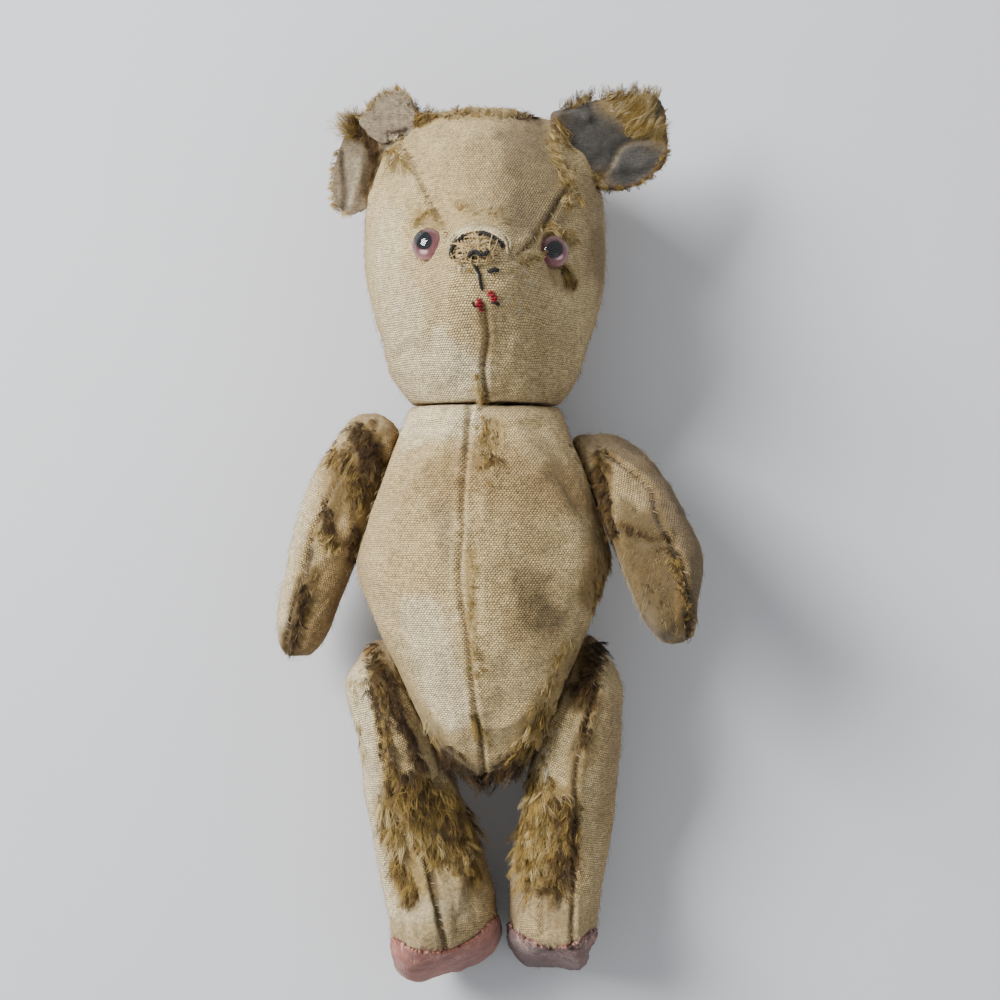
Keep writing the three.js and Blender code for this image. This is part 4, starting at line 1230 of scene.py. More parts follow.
# Where pile is left: seen line, spread, locks, hairs in a lock, length, direction (degrees from +X),
# lift, curl, colours of its locks.
PILE = {
    "torso": [
        ([(-4.2, -5), (-4.4, -22), (-3, -40)], 1.1, 60, 6, 2.4, -30, 0.5, 0.6, "pale gold"),
        ([(-0.5, 30), (2.6, 18.8)], 4, 70, 8, 2.8, 270, 0.4, 0.8, "gold brown pale"),
        ([(26, 28), (33.4, 6), (32, -18)], 3, 120, 8, 3, 290, 0.45, 0.6, "brown gold"),
        ([(-30.5, -30), (-25, -46), (-15, -62)], 2.4, 120, 9, 5.4, 252, 0.55, 0.7, "pale gold pale"),
        ([(-37, -16), (-34.6, -24)], 1.2, 22, 8, 4.2, 215, 0.6, 0.9, "pale white"),
        ([(25, -30), (17.5, -45)], 2, 44, 6, 3, 250, 0.4, 0.5, "pale gold"),
        ([(18.5, -49), (9, -64)], 2.6, 100, 9, 5.2, 245, 0.5, 0.7, "gold brown pale"),
        ([(-4, -51), (0.6, -59)], 1.5, 22, 8, 4, 268, 0.5, 0.7, "gold brown"),
        ([(-14, -62), (-2, -70.5), (9.5, -64)], 3, 180, 10, 6, 268, 0.5, 0.8, "dark dark brown dark"),
        ([(25, 31), (29, 22)], 1.2, 50, 9, 4.2, 300, 0.5, 0.8, "brown gold"),
        ([(33.5, -22), (31, -34), (25, -45)], 2.6, 150, 10, 4.4, 262, 0.6, 0.7, "dark dark brown"),
        ([(-35, -24), (-32, -38), (-25, -51)], 2, 100, 9, 4.4, 262, 0.5, 0.7, "dark brown"),
        ([(-35, 24), (-38, 6), (-37.4, -12)], 1, 50, 7, 3, 250, 0.5, 0.7, "gold pale"),
    ],
    "head": [
        ([(-19, 116), (-4, 118.4), (12, 117)], 1.4, 90, 8, 2.6, 92, 0.7, 0.9, "gold pale brown"),
        ([(8, 117.6), (14, 116.6)], 0.8, 26, 8, 2.2, 60, 0.5, 0.8, "dark dark"),
        ([(-26.8, 108.2), (-23, 103.6)], 1.2, 26, 10, 8.5, -50, 0.25, 0.35, "pale white gold"),
        ([(26.4, 96), (23.5, 93.6)], 1.2, 20, 9, 6, 220, 0.3, 0.4, "gold pale"),
        ([(-21, 86.8), (-16, 89), (-12.8, 87.4)], 1, 30, 6, 2.8, 30, 0.5, 1.1, "gold pale"),
        ([(15.5, 86), (20, 85.4), (24.8, 83)], 1, 40, 7, 3.2, -14, 0.5, 1, "gold pale"),
        ([(21.6, 75.4), (24.6, 71)], 1.2, 34, 8, 3.4, -65, 0.55, 0.8, "dark gold"),
        ([(-7.5, 91), (-2, 89.4)], 1.5, 13, 6, 3.6, 115, 0.6, 0.9, "gold pale"),
        ([(0.5, 90.4), (5, 87)], 1.5, 14, 6, 3.8, 60, 0.6, 0.9, "pale gold white"),
        ([(10, 76.6), (15, 77.6)], 1.2, 26, 6, 2.6, 10, 0.5, 0.9, "pale gold"),
        ([(-10.6, 77), (-9.4, 82), (-5, 84.8), (1, 85), (6, 81)], 0.8, 60, 5, 1.8, 90, 0.7, 2.2,
         "white pale"),
        ([(-9.6, 75.8), (-6, 75), (-3, 75)], 0.6, 24, 5, 1.6, 250, 0.7, 2, "white pale gold"),
        ([(6, 74), (12, 68), (7, 61)], 3.2, 70, 3, 1.7, 20, 0.55, 1.1, "pale white white"),
        ([(-2.6, 45), (0, 36.8)], 1, 26, 7, 3, 262, 0.5, 0.8, "gold pale"),
        ([(-30, 111), (-24, 112.6)], 2, 60, 9, 4.6, 80, 0.6, 0.9, "dark brown gold"),
        ([(18.6, 113), (19.6, 106), (23, 100)], 1.4, 70, 8, 3.6, 290, 0.7, 1.8, "pale gold pale"),
    ],
    "arm_right": [
        ([(-35.5, 30), (-33, 24), (-30, 18)], 2.6, 150, 10, 4.6, 255, 0.6, 0.8, "dark dark brown"),
        ([(-42, 23), (-37, 17), (-34, 10)], 3, 120, 9, 4, 250, 0.5, 0.7, "brown gold dark"),
        ([(-45.6, 9), (-43.4, 0)], 1.6, 60, 8, 3.2, 255, 0.5, 0.8, "dark brown"),
        ([(-47.6, 2), (-41, -4.4)], 1.6, 34, 7, 4, 240, 0.6, 1.4, "gold pale"),
        ([(-50.9, -15), (-52.6, -24), (-55, -33)], 1.3, 120, 8, 3, 255, 0.5, 0.7, "dark dark brown"),
        ([(-36, 2), (-38, -8)], 1.4, 50, 7, 3, 262, 0.5, 0.7, "brown dark"),
    ],
    "arm_left": [
        ([(51, -1), (55, -12), (57.4, -20), (58, -29)], 1, 90, 7, 2.6, 250, 0.5, 0.7, "brown gold dark"),
        ([(33, 24), (33.6, 12), (36.6, 0)], 1.6, 110, 9, 4, 250, 0.55, 0.7, "dark brown"),
        ([(39.5, 2.4), (45, -0.5), (51.6, -3.6)], 1.6, 46, 6, 2.2, 250, 0.4, 0.6, "brown dark"),
        ([(44, -10), (52, -24)], 5, 60, 6, 1.3, 255, 0.35, 0.6, "brown dark"),
    ],
    "leg_right": [
        ([(-33.6, -30), (-30, -50), (-26, -69)], 1.8, 150, 8, 4, 285, 0.5, 0.7, "dark brown gold"),
        ([(-25, -70), (-14, -76), (-3, -84)], 5.2, 330, 10, 6.4, 276, 0.45, 0.7, "gold brown dark gold"),
        ([(-29, -76), (-24.5, -89)], 2, 90, 10, 6, 262, 0.45, 0.6, "gold pale brown"),
        ([(-25, -92), (-20, -103)], 1.8, 80, 10, 6, 264, 0.4, 0.6, "gold brown"),
        ([(-15, -88), (-3, -95)], 3.4, 110, 8, 4.6, 272, 0.4, 0.7, "brown gold"),
        ([(-38, -40), (-34, -66)], 1.2, 40, 6, 2.6, 265, 0.4, 0.7, "pale gold"),
        ([(-31, -32), (-25.5, -48), (-17.5, -66)], 1.5, 130, 9, 4.4, 268, 0.5, 0.7, "dark dark brown"),
        ([(-22, -84), (-14, -88), (-6, -92)], 3.4, 120, 9, 4.8, 270, 0.4, 0.7, "gold gold pale"),
        ([(-26, -113.2), (-17, -117), (-9.6, -116.6), (-3, -112.6), (3, -107)], 0.4, 60, 5, 1.7, 272, 0.4, 1,
         "pale white pink"),
    ],
    "leg_left": [
        ([(33, -27), (31, -35), (27.6, -46)], 2.4, 150, 10, 4, 240, 0.7, 0.7, "dark dark dark brown"),
        ([(31.5, -42), (27.4, -60)], 1.3, 80, 7, 2.6, 262, 0.5, 0.6, "dark brown"),
        ([(17, -70), (13, -86), (13, -98)], 4.2, 260, 10, 5.8, 264, 0.45, 0.7, "gold brown gold pale"),
        ([(24, -76), (22, -90), (20, -101)], 3.4, 150, 10, 5.4, 262, 0.45, 0.7, "gold brown dark"),
        ([(25.6, -79), (24.8, -100)], 0.9, 60, 8, 3.4, 262, 0.5, 0.6, "dark brown"),
        ([(40.4, -50), (42, -62)], 1.2, 40, 6, 2.4, 275, 0.5, 0.7, "pale gold"),
        ([(8, -60), (6, -72)], 2.4, 80, 9, 4.6, 262, 0.5, 0.7, "dark brown"),
        ([(20, -52), (16, -70)], 2, 60, 8, 3.4, 255, 0.4, 0.7, "pale white gold"),
        ([(6, -108), (10.4, -113), (18, -116.4), (25, -115.4), (29, -113)], 0.4, 50, 5, 1.7, 272, 0.4, 1,
         "pale white pink"),
        ([(15, -122), (21, -125)], 1, 26, 6, 3.4, 292, 0.7, 1.2, "pink"),
    ],
}


def hair_colours(palette, count, points, rng):
    """A tint for each hair of a lock, from its root to its paler tip."""
    low, high = HAIR[palette[rng.integers(len(palette))]]
    share = np.clip(rng.uniform(0.1, 0.75) + rng.normal(0, 0.16, count), 0, 1)[:, None, None]
    t = np.linspace(0, 1, points)[None, :, None]
    return low + (high - low) * np.clip(0.55 * share + 0.6 * t * (0.4 + share), 0, 1)


def grow_patch(skin, yarn, patch, rng, settings):
    """Grows the locks of one patch of pile."""
    spots, spread, locks, hairs, length, degrees, lift, curl, colours = patch
    line = resampled(spots, 0.5)
    centres = line[rng.integers(len(line), size=locks)] + rng.normal(0, spread * 0.5, (locks, 2))
    places, outward, _ = skin.under(centres)
    points = 5 if length > 6 or curl > 1.2 else 4 if length > 3 else 3
    for place, normal in zip(places, outward):
        count = max(3, int(hairs * settings.density * rng.uniform(0.7, 1.3)))
        angle = math.radians(degrees + rng.normal(0, 22))
        along = np.array([math.cos(angle), math.sin(angle), 0])
        lean = unit(along - (along @ normal) * normal + rng.normal(0, 0.12, 3))
        across = np.cross(normal, lean)
        spot = rng.normal(0, 0.42, (count, 2))
        roots = place + spot[:, :1] * lean + spot[:, 1:] * across - 0.25 * normal
        leans = unit(lean + rng.normal(0, 0.13, (count, 3)))
        lengths = length * settings.length_scale * rng.uniform(0.55, 1.15) * rng.uniform(0.75, 1.1, count)
        lifts = np.full(count, lift * rng.uniform(0.6, 1.4)) * rng.uniform(0.8, 1.2, count)
        curls = np.full(count, curl * rng.normal(0, 1)) + rng.normal(0, 0.25, count)
        outwards = np.repeat(normal[None], count, 0)
        paths = lock_paths(roots, outwards, leans, lengths, lifts, curls, rng, points)
        tip = paths[:, -1].mean(0)
        pull = np.linspace(0, 1, points)[None, :, None] ** 2 * 0.55
        paths = paths + pull * (tip - paths[:, -1:])
        tints = hair_colours(colours.split(), count, points, rng)
        yarn.add_many(paths, settings.thickness / MM * rng.uniform(0.7, 1.3, count), tints)


def grow_nap(skin, yarn, count, rng, settings):
    """Short broken hairs over the whole skin, thickest where the cloth is sheltered."""
    corners = skin.places[skin.faces]
    area = 0.5 * np.linalg.norm(
        np.cross(corners[:, 2] - corners[:, 0], corners[:, 3] - corners[:, 1]), axis=1)
    left = skin.nap[skin.faces].mean(1)
    sheltered = skin.places[skin.faces].mean(1)[:, 2] > 0.5
    weight = area * (0.12 + left) * sheltered
    chosen = rng.choice(len(corners), size=count, p=weight / weight.sum())
    mix = rng.dirichlet((1, 1, 1, 1), count)
    roots = np.einsum("ij,ijk->ik", mix, corners[chosen])
    outward = unit(skin.normals[skin.faces[chosen]].mean(1))
    down = np.array([0, -1.0, 0]) + rng.normal(0, 0.45, (count, 3))
    lean = unit(down - np.sum(down * outward, 1)[:, None] * outward)
    amount = left[chosen]
    lengths = (0.9 + 1.7 * amount) * rng.uniform(0.6, 1.3, count)
    paths = lock_paths(roots - 0.1 * outward, outward, lean, lengths, rng.uniform(0.4, 1.0, count),
                       rng.normal(0, 1, count), rng, 3)
    low, high = HAIR["brown"][0], HAIR["pale"][1]
    share = np.clip(rng.uniform(0.2, 0.9, count) - 0.35 * amount, 0, 1)[:, None, None]
    t = np.linspace(0, 1, 3)[None, :, None]
    tints = low + (high - low) * np.clip(0.75 * share + 0.25 * t, 0, 1)
    yarn.add_many(paths, 0.8 * settings.thickness / MM * rng.uniform(0.7, 1.2, count), tints)


NAP_HAIRS = {
    "torso": 2600, "head": 2200, "arm_left": 900, "arm_right": 900, "leg_left": 1300, "leg_right": 1300,
}


# ---- face

EYE_SPOT = {"right": (-16.1, 81.1), "left": (19.2, 79.1)}
PUPIL_SPOT = {"right": (-16.9, 81.9), "left": (19.3, 79.5)}
GLEAM_SPOT = {"right": (-17.0, 79.4), "left": (20.3, 77.9)}
EYE_RADIUS = {"right": 4.35, "left": 4.25}
EYE_FLATTEN = 0.7

CREAM_THREAD = srgb(204, 186, 144)
TAN_THREAD = srgb(164, 138, 92)
BLACK_THREAD = srgb(22, 18, 16)
RED_THREAD = srgb(150, 20, 34)

# Black threads, the nose's first: seen line, thread radius, height above the cloth, plies.
NOSE_LINES = 3
EMBROIDERY = [
    ([(-8.9, 77.2), (-8.7, 79), (-7.7, 80.7), (-6.4, 82), (-5, 83.1)], 0.56, 1.1, 3),
    ([(-1.7, 83.8), (0.3, 83.3), (2.3, 82.3), (3.7, 81.2), (4.8, 80.4)], 0.54, 1.1, 3),
    ([(-4.3, 77.5), (-2.8, 78.7), (-1.1, 78.2), (1.1, 78.8)], 0.54, 1.9, 3),
    ([(-4, 77.6), (-3.1, 76.6), (-2.4, 74.3), (-1.6, 72.7), (-1.3, 70.4), (-0.8, 68.3)], 0.42, 0.45, 3),
    ([(1, 73.5), (2.4, 74.2), (3.7, 74)], 0.6, 0.5, 3),
    ([(-3.4, 65), (-3, 64.3), (-2.5, 63.7)], 0.4, 0.45, 2),
    ([(2, 64.9), (3, 64.8), (4, 64.4)], 0.42, 0.45, 2),
]
RED_STITCHES = [
    ([(-2.4, 65.4), (-1.2, 65.6)], [(-2.6, 64.5), (-0.9, 64.6)], [(-2.2, 63.6), (-0.9, 63.4)],
     [(-1.7, 62.8), (-0.9, 62.6)]),
    ([(0.8, 67.9), (2, 68)], [(0.9, 67), (2.8, 67.2)], [(1.4, 66.2), (3.3, 66.4)],
     [(1.8, 65.5), (3, 65.7)]),
]
NOSE_ARCH = [
    (-11, 77.4), (-10.6, 80.4), (-8.6, 83), (-5.9, 84.4), (-2.9, 85), (0.6, 84.9), (3.9, 83.5),
    (5.8, 81.6), (6.4, 79.2),
]


def embroider(skin, yarn, spots, radius, lift, plies, tint, rng):
    """One thread laid on the cloth, its ends pulled through."""
    flat = resampled(spots, 0.25)
    places, outward, _ = skin.under(flat)
    t = np.linspace(0, 1, len(places))
    rise = lift * np.minimum(1, 9 * t * (1 - t) * 1.2) - 0.5 * (np.abs(t - 0.5) > 0.49)
    path = places + outward * rise[:, None]
    for ply in plied(path, radius, plies, 5 * radius):
        yarn.add(ply, radius * 0.62, tint * rng.uniform(0.85, 1.2))


def dome(name, centre, outward, radius, flatten, segments=48, rings=24):
    """A flattened ball that looks along outward, in the model's frame."""
    net = bmesh.new()
    bmesh.ops.create_uvsphere(net, u_segments=segments, v_segments=rings, radius=radius * MM)
    squash = Matrix.Diagonal((1, 1, flatten, 1))
    turn = Vector((0, 0, 1)).rotation_difference(Vector(outward)).to_matrix().to_4x4()
    net.transform(Matrix.Translation(Vector(row(centre))) @ turn @ squash)
    mesh = net_mesh(net, name)
    shade_smooth(mesh)
    return mesh_object(name, mesh)


def glass_material():
    material, w = new_material(
        "Clear pink glass", Roughness=0.02, IOR=1.5, Transmission_Weight=1.0)
    haze = w.noise(w.place(), 600.0, 2.0)
    w.give("Base Color", w.mix(haze, colour4((1.0, 0.94, 0.95)), colour4((1.0, 0.97, 0.97))))
    return material


def painted_iris_material():
    material, w = new_material("Painted iris", Roughness=0.6, Specular_IOR_Level=0.1)
    tint = w.attribute("tint", "Color")
    fleck = w.noise(w.place(), 2200.0, 3.0, 0.7)
    w.give("Base Color", w.mix(0.08, tint, w.mix(fleck, paint(190, 160, 165), WHITE), "MULTIPLY"))
    return material


def paint_iris(thing, side):
    """Rose ring, painted lighter below as light through the glass would show it, dark pupil towards one side,
    and a painted highlight where light gathers.
    """
    spots = seen(bench(read_places(thing.data)))
    from_middle = np.linalg.norm(spots - EYE_SPOT[side], axis=1) / EYE_RADIUS[side]
    from_pupil = np.hypot(*((spots - PUPIL_SPOT[side]) / (1.0, 1.12)).T)
    from_gleam = np.hypot(*((spots - GLEAM_SPOT[side]) / (1.1, 0.8)).T)
    rose, rim, pupil, gleam = srgb(114, 68, 70), srgb(162, 118, 116), srgb(5, 8, 14), srgb(220, 184, 184)
    tint = rose + (rim - rose) * smoothstep(from_middle, 0.55, 0.98)[:, None]
    # Painted light: the ring is lighter towards its lower side, as a glow through the glass.
    low = smoothstep(PUPIL_SPOT[side][1] - spots[:, 1], -3, 4)[:, None]
    tint = tint * (0.75 + 0.45 * low)
    # Painted highlight: a pale patch where light gathers in the glass.
    tint = tint + (gleam - tint) * (1 - smoothstep(from_gleam, 0.3, 1.2))[:, None]
    tint = tint + (pupil - tint) * (1 - smoothstep(from_pupil, 1.75, 2.05))[:, None]
    put_values(thing.data, "tint", np.clip(tint, 0, 1), "FLOAT_COLOR")


def seat_eyes(skin):
    """Notes where each eye sits, draws the cloth in round it, and paints a ring of shade in the dip."""
    skin.eye_centre, skin.eye_outward = {}, {}
    for side in SIDES:
        places, outward, _ = skin.under([EYE_SPOT[side]])
        forward = unit(outward[0] + np.array([0, 0, 0.6]))
        skin.eye_outward[side] = forward
        skin.eye_centre[side] = places[0] + 0.5 * forward
        distance = np.linalg.norm(skin.places - places[0], axis=1)
        dent = -1.5 * np.exp(-((distance / 4.6) ** 4)) + 0.5 * np.exp(-(((distance - 5.6) / 1.1) ** 2))
        off = skin.seen - EYE_SPOT[side]
        fan = np.cos(9 * np.arctan2(off[:, 1], off[:, 0]) + 2 * rough(skin.places, 6, 41))
        creases = 0.22 * fan * np.exp(-(((distance - 6.5) / 2.2) ** 2))
        skin.push(dent + creases)
        # Painted shade: a dark ring where the cloth dips in round the glass.
        skin.tone *= (1 - 0.35 * np.exp(-(((distance - 4.4) / 0.9) ** 2)))[:, None]


# ---- joint hardware


def card_material():
    """Grey pressed card: layered, fibrous and scuffed along its rim."""
    material, w = new_material("Pressed card", Roughness=0.9)
    fibre = w.group("Fibres", Vector=w.place(), Size=0.6)
    grime = w.group("Grime", Vector=w.place())
    base = w.mix(fibre["Shade"], paint(112, 104, 92), paint(168, 158, 140))
    w.give("Base Color", w.mix(grime["Specks"], base, paint(74, 66, 56)))
    w.give("Normal", w.bump(fibre["Height"], 0.0002, 0.6))
    return material


def steel_material():
    """Plain steel with drawn scratches and a little rust."""
    material, w = new_material("Dull steel", Metallic=1.0, Roughness=0.4)
    scratch = w.noise(w.stretched(w.place(), (1, 1, 12)), 1800.0, 2.0)
    rust = w.ramp(w.noise(w.place(), 420.0, 4.0, 0.7), 0.56, 0.68)
    w.give("Base Color", w.mix(rust, paint(186, 184, 180), paint(122, 72, 42)))
    w.give("Roughness", w.blend(rust, w.ramp(scratch, 0.3, 0.7, 0.28, 0.5), 0.85))
    w.give("Metallic", w.math("SUBTRACT", 1.0, rust))
    w.give("Normal", w.bump(scratch, 0.00006, 0.4))
    return material


def thickened(thing, thickness):
    """Gives a sheet its thickness, inwards from its face, in millimetres."""
    solid = thing.modifiers.new("Thickness", "SOLIDIFY")
    solid.thickness = thickness * MM
    solid.offset = -1
    applied(thing)
    shade_smooth(thing.data)
    return thing


# ---- foot pads

PAD_THICKNESS = 0.8
PAD_EDGE = {
    "right": [
        (-34, -110), (-26.8, -113.6), (-22.6, -116.6), (-16.9, -118.1), (-9.9, -117.5), (-2.8, -113.6),
        (3.7, -107.6), (8, -103),
    ],
    "left": [
        (1, -102), (5.1, -107.1), (10.2, -113.6), (18.1, -117), (24.9, -116.1), (28.8, -113.6), (34, -109),
    ],
}


def beyond_sole_seam(skin, side, wander=0.5):
    """How far each place of a leg is past the line where the pad is sewn on, negative above it."""
    form = skin.form
    sole = form.turn @ np.array([0, -math.sin(math.pi / 2 - SOLE_TILT), math.cos(math.pi / 2 - SOLE_TILT)])
    point = form.turn @ np.array([0, SOLE_SEAM, 0]) + form.shift
    by_plane = (skin.places - point) @ sole
    edge = np.array(resampled(PAD_EDGE[side], 0.5))
    by_sight = np.interp(skin.seen[:, 0], edge[:, 0], edge[:, 1]) - skin.seen[:, 1]
    front = smoothstep(skin.facing, -0.15, 0.25)
    ragged = wander * (rough(skin.places, 2.6, 31) + 0.7 * rough(skin.places, 1.0, 32))
    return by_plane + (by_sight - by_plane) * front + ragged


def pad_material(name, dark, light):
    """Old felt: bald, cracked and faded, with pale flakes along its creases."""
    material, w = new_material(name, Roughness=0.88, Sheen_Weight=0.15, Sheen_Roughness=0.5)
    fibres = w.group("Fibres", Vector=w.place(), Size=0.3)
    grime = w.group("Grime", Vector=w.place())
    cracks = w.node("ShaderNodeTexVoronoi", feature="DISTANCE_TO_EDGE")
    w.feed(cracks.inputs["Vector"], w.stretched(w.place(), (1.0, 0.34, 1.0)))
    cracks.inputs["Scale"].default_value = 620
    patchy = w.ramp(w.noise(w.place(), 300.0, 3.0, 0.6), 0.42, 0.6)
    crack = w.times(w.ramp(cracks.outputs["Distance"], 0.0, 0.16, 1.0, 0.0), patchy)
    worn = w.attribute("worn")
    base = w.mix(grime["Clouds"], colour4(dark), colour4(light))
    fuzzy = w.mix(0.4, base, w.mix(fibres["Shade"], paint(150, 140, 132), WHITE), "MULTIPLY")
    flaky = w.mix(w.times(crack, worn), fuzzy, paint(186, 136, 116))
    w.give("Base Color", w.mix(w.times(grime["Specks"], 0.6), flaky, paint(88, 60, 50)))
    height = w.plus(w.times(fibres["Height"], 0.6), w.times(crack, -0.5))
    w.give("Normal", w.bump(height, 0.0004, 0.8))
    return material


def make_pad(skin, side, material):
    """Cuts the foot's sole out of the leg's cloth as its own felt cup, with a ragged edge."""
    past = beyond_sole_seam(skin, side)
    cup = bmesh.new()
    cup.from_mesh(skin.thing.data)
    cup.verts.ensure_lookup_table()
    above = [f for f in cup.faces if past[[v.index for v in f.verts]].mean() < 0]
    bmesh.ops.delete(cup, geom=above, context="FACES")
    loose = [v for v in cup.verts if not v.link_faces]
    bmesh.ops.delete(cup, geom=loose, context="VERTS")
    rim = [v for v in cup.verts if v.is_boundary]
    smooth_places(cup, rim)
    cup.normal_update()
    for vertex in cup.verts:
        place = bench(vertex.co)[None]
        lift = 0.55 + 0.25 * rough(place, 2.2, 33)[0] + (0.35 if vertex.is_boundary else 0)
        vertex.co += vertex.normal * lift * MM
    name = f"foot_pad_{side}_felt"
    thing = thickened(mesh_object(name, net_mesh(cup, name)), PAD_THICKNESS)
    mesh = thing.data
    mesh.materials.append(material)
    places = bench(read_places(mesh))
    spots = seen(places)
    edge = resampled(PAD_EDGE[side], 0.5)
    below = np.interp(spots[:, 0], edge[:, 0], edge[:, 1]) - spots[:, 1]
    worn = np.clip(np.exp(-((below / 4.5) ** 2)) + 0.12 + 0.3 * rough(places, 5, 34), 0, 1)
    put_values(mesh, "worn", worn)
    return thing


# ---- ears


def star_radius(outline, middle, angle):
    """Distance from the middle to a closed smooth outline, in each direction."""
    ring = np.array(outline + outline[:1], float)
    ring = np.concatenate([ring[-3:-1], ring, ring[1:3]])
    fine = curve_through(ring, np.linspace(0, 1, 40 * len(ring))) - middle
    fine_angle = np.arctan2(fine[:, 1], fine[:, 0])
    order = np.argsort(fine_angle)
    return np.interp(angle, fine_angle[order], np.hypot(fine[:, 0], fine[:, 1])[order], period=2 * math.pi)


FLAP_CELLS = 56
FLAP_THICKNESS = 0.8


def make_flap(name, outline, flap, material, colour, seed):
    """A flap of cloth: a round net drawn out to a ragged outline, folded by height_at, given thickness."""
    net = bmesh.new()
    bmesh.ops.create_grid(net, x_segments=FLAP_CELLS, y_segments=FLAP_CELLS, size=1)
    square = np.array([v.co for v in net.verts])[:, :2]
    disc = square * np.sqrt(1 - square[:, ::-1] ** 2 / 2)
    far = np.hypot(disc[:, 0], disc[:, 1])
    angle = np.arctan2(disc[:, 1], disc[:, 0])
    middle = np.mean(outline, axis=0)
    edge = star_radius(outline, middle, angle)
    round_edge = np.stack([np.cos(angle), np.sin(angle)], 1)
    border = middle + edge[:, None] * round_edge
    frayed = RAGGED * (rough(border, 1.6, seed) + 0.6 * rough(border, 0.6, seed + 1))
    spots = middle + (far * (edge + frayed * far**4))[:, None] * round_edge
    for vertex, place in zip(net.verts, row(flap.places(spots))):
        vertex.co = place
    bmesh.ops.recalc_face_normals(net, faces=net.faces)
    net.normal_update()
    if sum(f.normal.z for f in net.faces) < 0:
        bmesh.ops.reverse_faces(net, faces=net.faces)
    thing = thickened(mesh_object(name, net_mesh(net, name)), FLAP_THICKNESS)
    mesh = thing.data
    mesh.materials.append(material)
    final = bench(read_places(mesh))
    colour(mesh, final, seen(final))
    put_panel_uv(mesh, read_places(mesh)[corner_vertices(mesh)][:, :2])
    return thing


def near_line(spots, line, width):
    distance, _ = reach(spots, resampled(line, 0.5), 3 * width)
    return np.exp(-((distance / width) ** 2))


class Flap:
    """A flap of cloth, as a height over seen spots."""

    def __init__(self, height_at):
        self.height_at = height_at

    def places(self, spots):
        spots = np.asarray(spots, float)
        heights = self.height_at(spots)
        scale = (EYE_LEVEL[2] - heights) / (EYE_LEVEL[2] - BELLY_HEIGHT)
        flat = EYE_LEVEL[:2] + (spots - EYE_LEVEL[:2]) * scale[:, None]
        return np.concatenate([flat, heights[:, None]], 1)

    def under(self, spots):
        places = self.places(spots)
        east = self.places(np.asarray(spots) + (0.4, 0)) - places
        north = self.places(np.asarray(spots) + (0, 0.4)) - places
        return places, unit(np.cross(east, north)), None


SLATE_EAR = [
    (18.4, 117), (20.1, 118.8), (25.6, 120.1), (28.8, 121.4), (32.4, 122.2), (35.6, 123), (43, 123.4),
    (49, 122), (50.8, 118), (51.2, 113.1), (51.6, 107.8), (50.7, 104.2), (47.3, 100.5), (44.2, 98.2),
    (39, 96.6), (35.6, 96.4), (32.4, 96.9), (27.2, 97.6), (21.4, 98.9), (18.8, 104.2), (18.2, 112),
]
SLATE_ROLL = [(18.8, 117.4), (23.5, 118.0), (29, 117.0)]
SLATE_CREASE = [(33, 99.8), (36.3, 104.2), (37.6, 107.3), (40.3, 109.4), (45.5, 111.0)]
SLATE_BAND = [(34.2, 102.8), (41, 103.6), (47.6, 104.6)]
SLATE_LOWER_RIM = [(51.4, 107), (47.3, 100.9), (42, 97.8), (35.6, 97), (28, 98)]
EAR_BASE = [(19.6, 116), (20.0, 110), (21.5, 104), (26, 100.5), (33.0, 99.0)]
GOLD_PART = [(37, 120.5), (42, 117), (47, 114), (50.5, 112)]

TAN_FLAP = [
    (-35.8, 116.2), (-33.2, 119.6), (-30.2, 122.8), (-26.8, 124.8), (-24, 125), (-21.4, 123.2),
    (-19.6, 119.9), (-18.2, 116.2), (-18.4, 113.4), (-22.1, 111.8), (-26.2, 110.8), (-29.6, 110),
    (-33.4, 112.6),
]
TAN_FLAP_EDGE = [(-21.0, 122.4), (-19.2, 118.6), (-18.3, 114.6)]
TAN_FLAP_HOLES = [(-27, 112.2), (-24.6, 112.8), (-22.6, 113.4)]
TAN_LOBE = [
    (-35.6, 115.4), (-39, 113), (-41.4, 107.4), (-42.8, 101.7), (-42.9, 96), (-41.5, 92.3),
    (-39.4, 89.8), (-37, 89.8), (-33.2, 91.2), (-30.6, 93.4), (-28.4, 98), (-26, 104), (-25.6, 110),
    (-29, 114.8),
]
LOBE_RIDGE = [(-35.6, 104), (-36.6, 98), (-37.8, 92.6)]
LOBE_GROOVE = [(-40.2, 107), (-40.0, 101.7), (-39.3, 96), (-39.8, 91.4)]
DARK_FOLD = [(-35.6, 114), (-32, 109), (-30.6, 102), (-32, 95.6)]


def slate_height(spots):
    x = spots[:, 0]
    height = 46.6 - 0.27 * (x - 19) - 0.002 * (x - 19) ** 2
    height += 1.3 * near_line(spots, SLATE_ROLL, 1.5) + 0.9 * near_line(spots, SLATE_LOWER_RIM, 1.3)
    height += 0.9 * near_line(spots, SLATE_BAND, 2.2) - 1.0 * near_line(spots, SLATE_CREASE, 1.1)
    height += 1.0 * near_line(spots, EAR_BASE, 1.6) + 0.7 * rough(spots, 6, 51)
    return height + 0.22 * rough(spots, 2.1, 52)


def tan_flap_height(spots):
    x, y = spots[:, 0], spots[:, 1]
    height = 46.2 + 0.16 * (x + 18) + 0.04 * (y - 111)
    height += 0.5 * rough(spots, 6, 53) + 0.2 * rough(spots, 2, 54)
    return height + 0.6 * near_line(spots, TAN_FLAP_EDGE, 1.0) - 0.8 * near_line(spots, TAN_FLAP_HOLES, 1.0)


def tan_lobe_height(spots):
    x = spots[:, 0]
    height = 43.2 + 0.28 * (x + 30)
    height += 1.5 * near_line(spots, LOBE_RIDGE, 1.8) - 1.2 * near_line(spots, LOBE_GROOVE, 1.0)
    height -= 2.0 * near_line(spots, DARK_FOLD, 2.4)
    return height + 0.5 * rough(spots, 5, 55) + 0.2 * rough(spots, 1.8, 56)


def dabbed(tone, spots, line, width, colour, strength=1.0):
    amount = strength * near_line(spots, line, width)[:, None]
    return tone + amount * (np.asarray(colour) - tone)


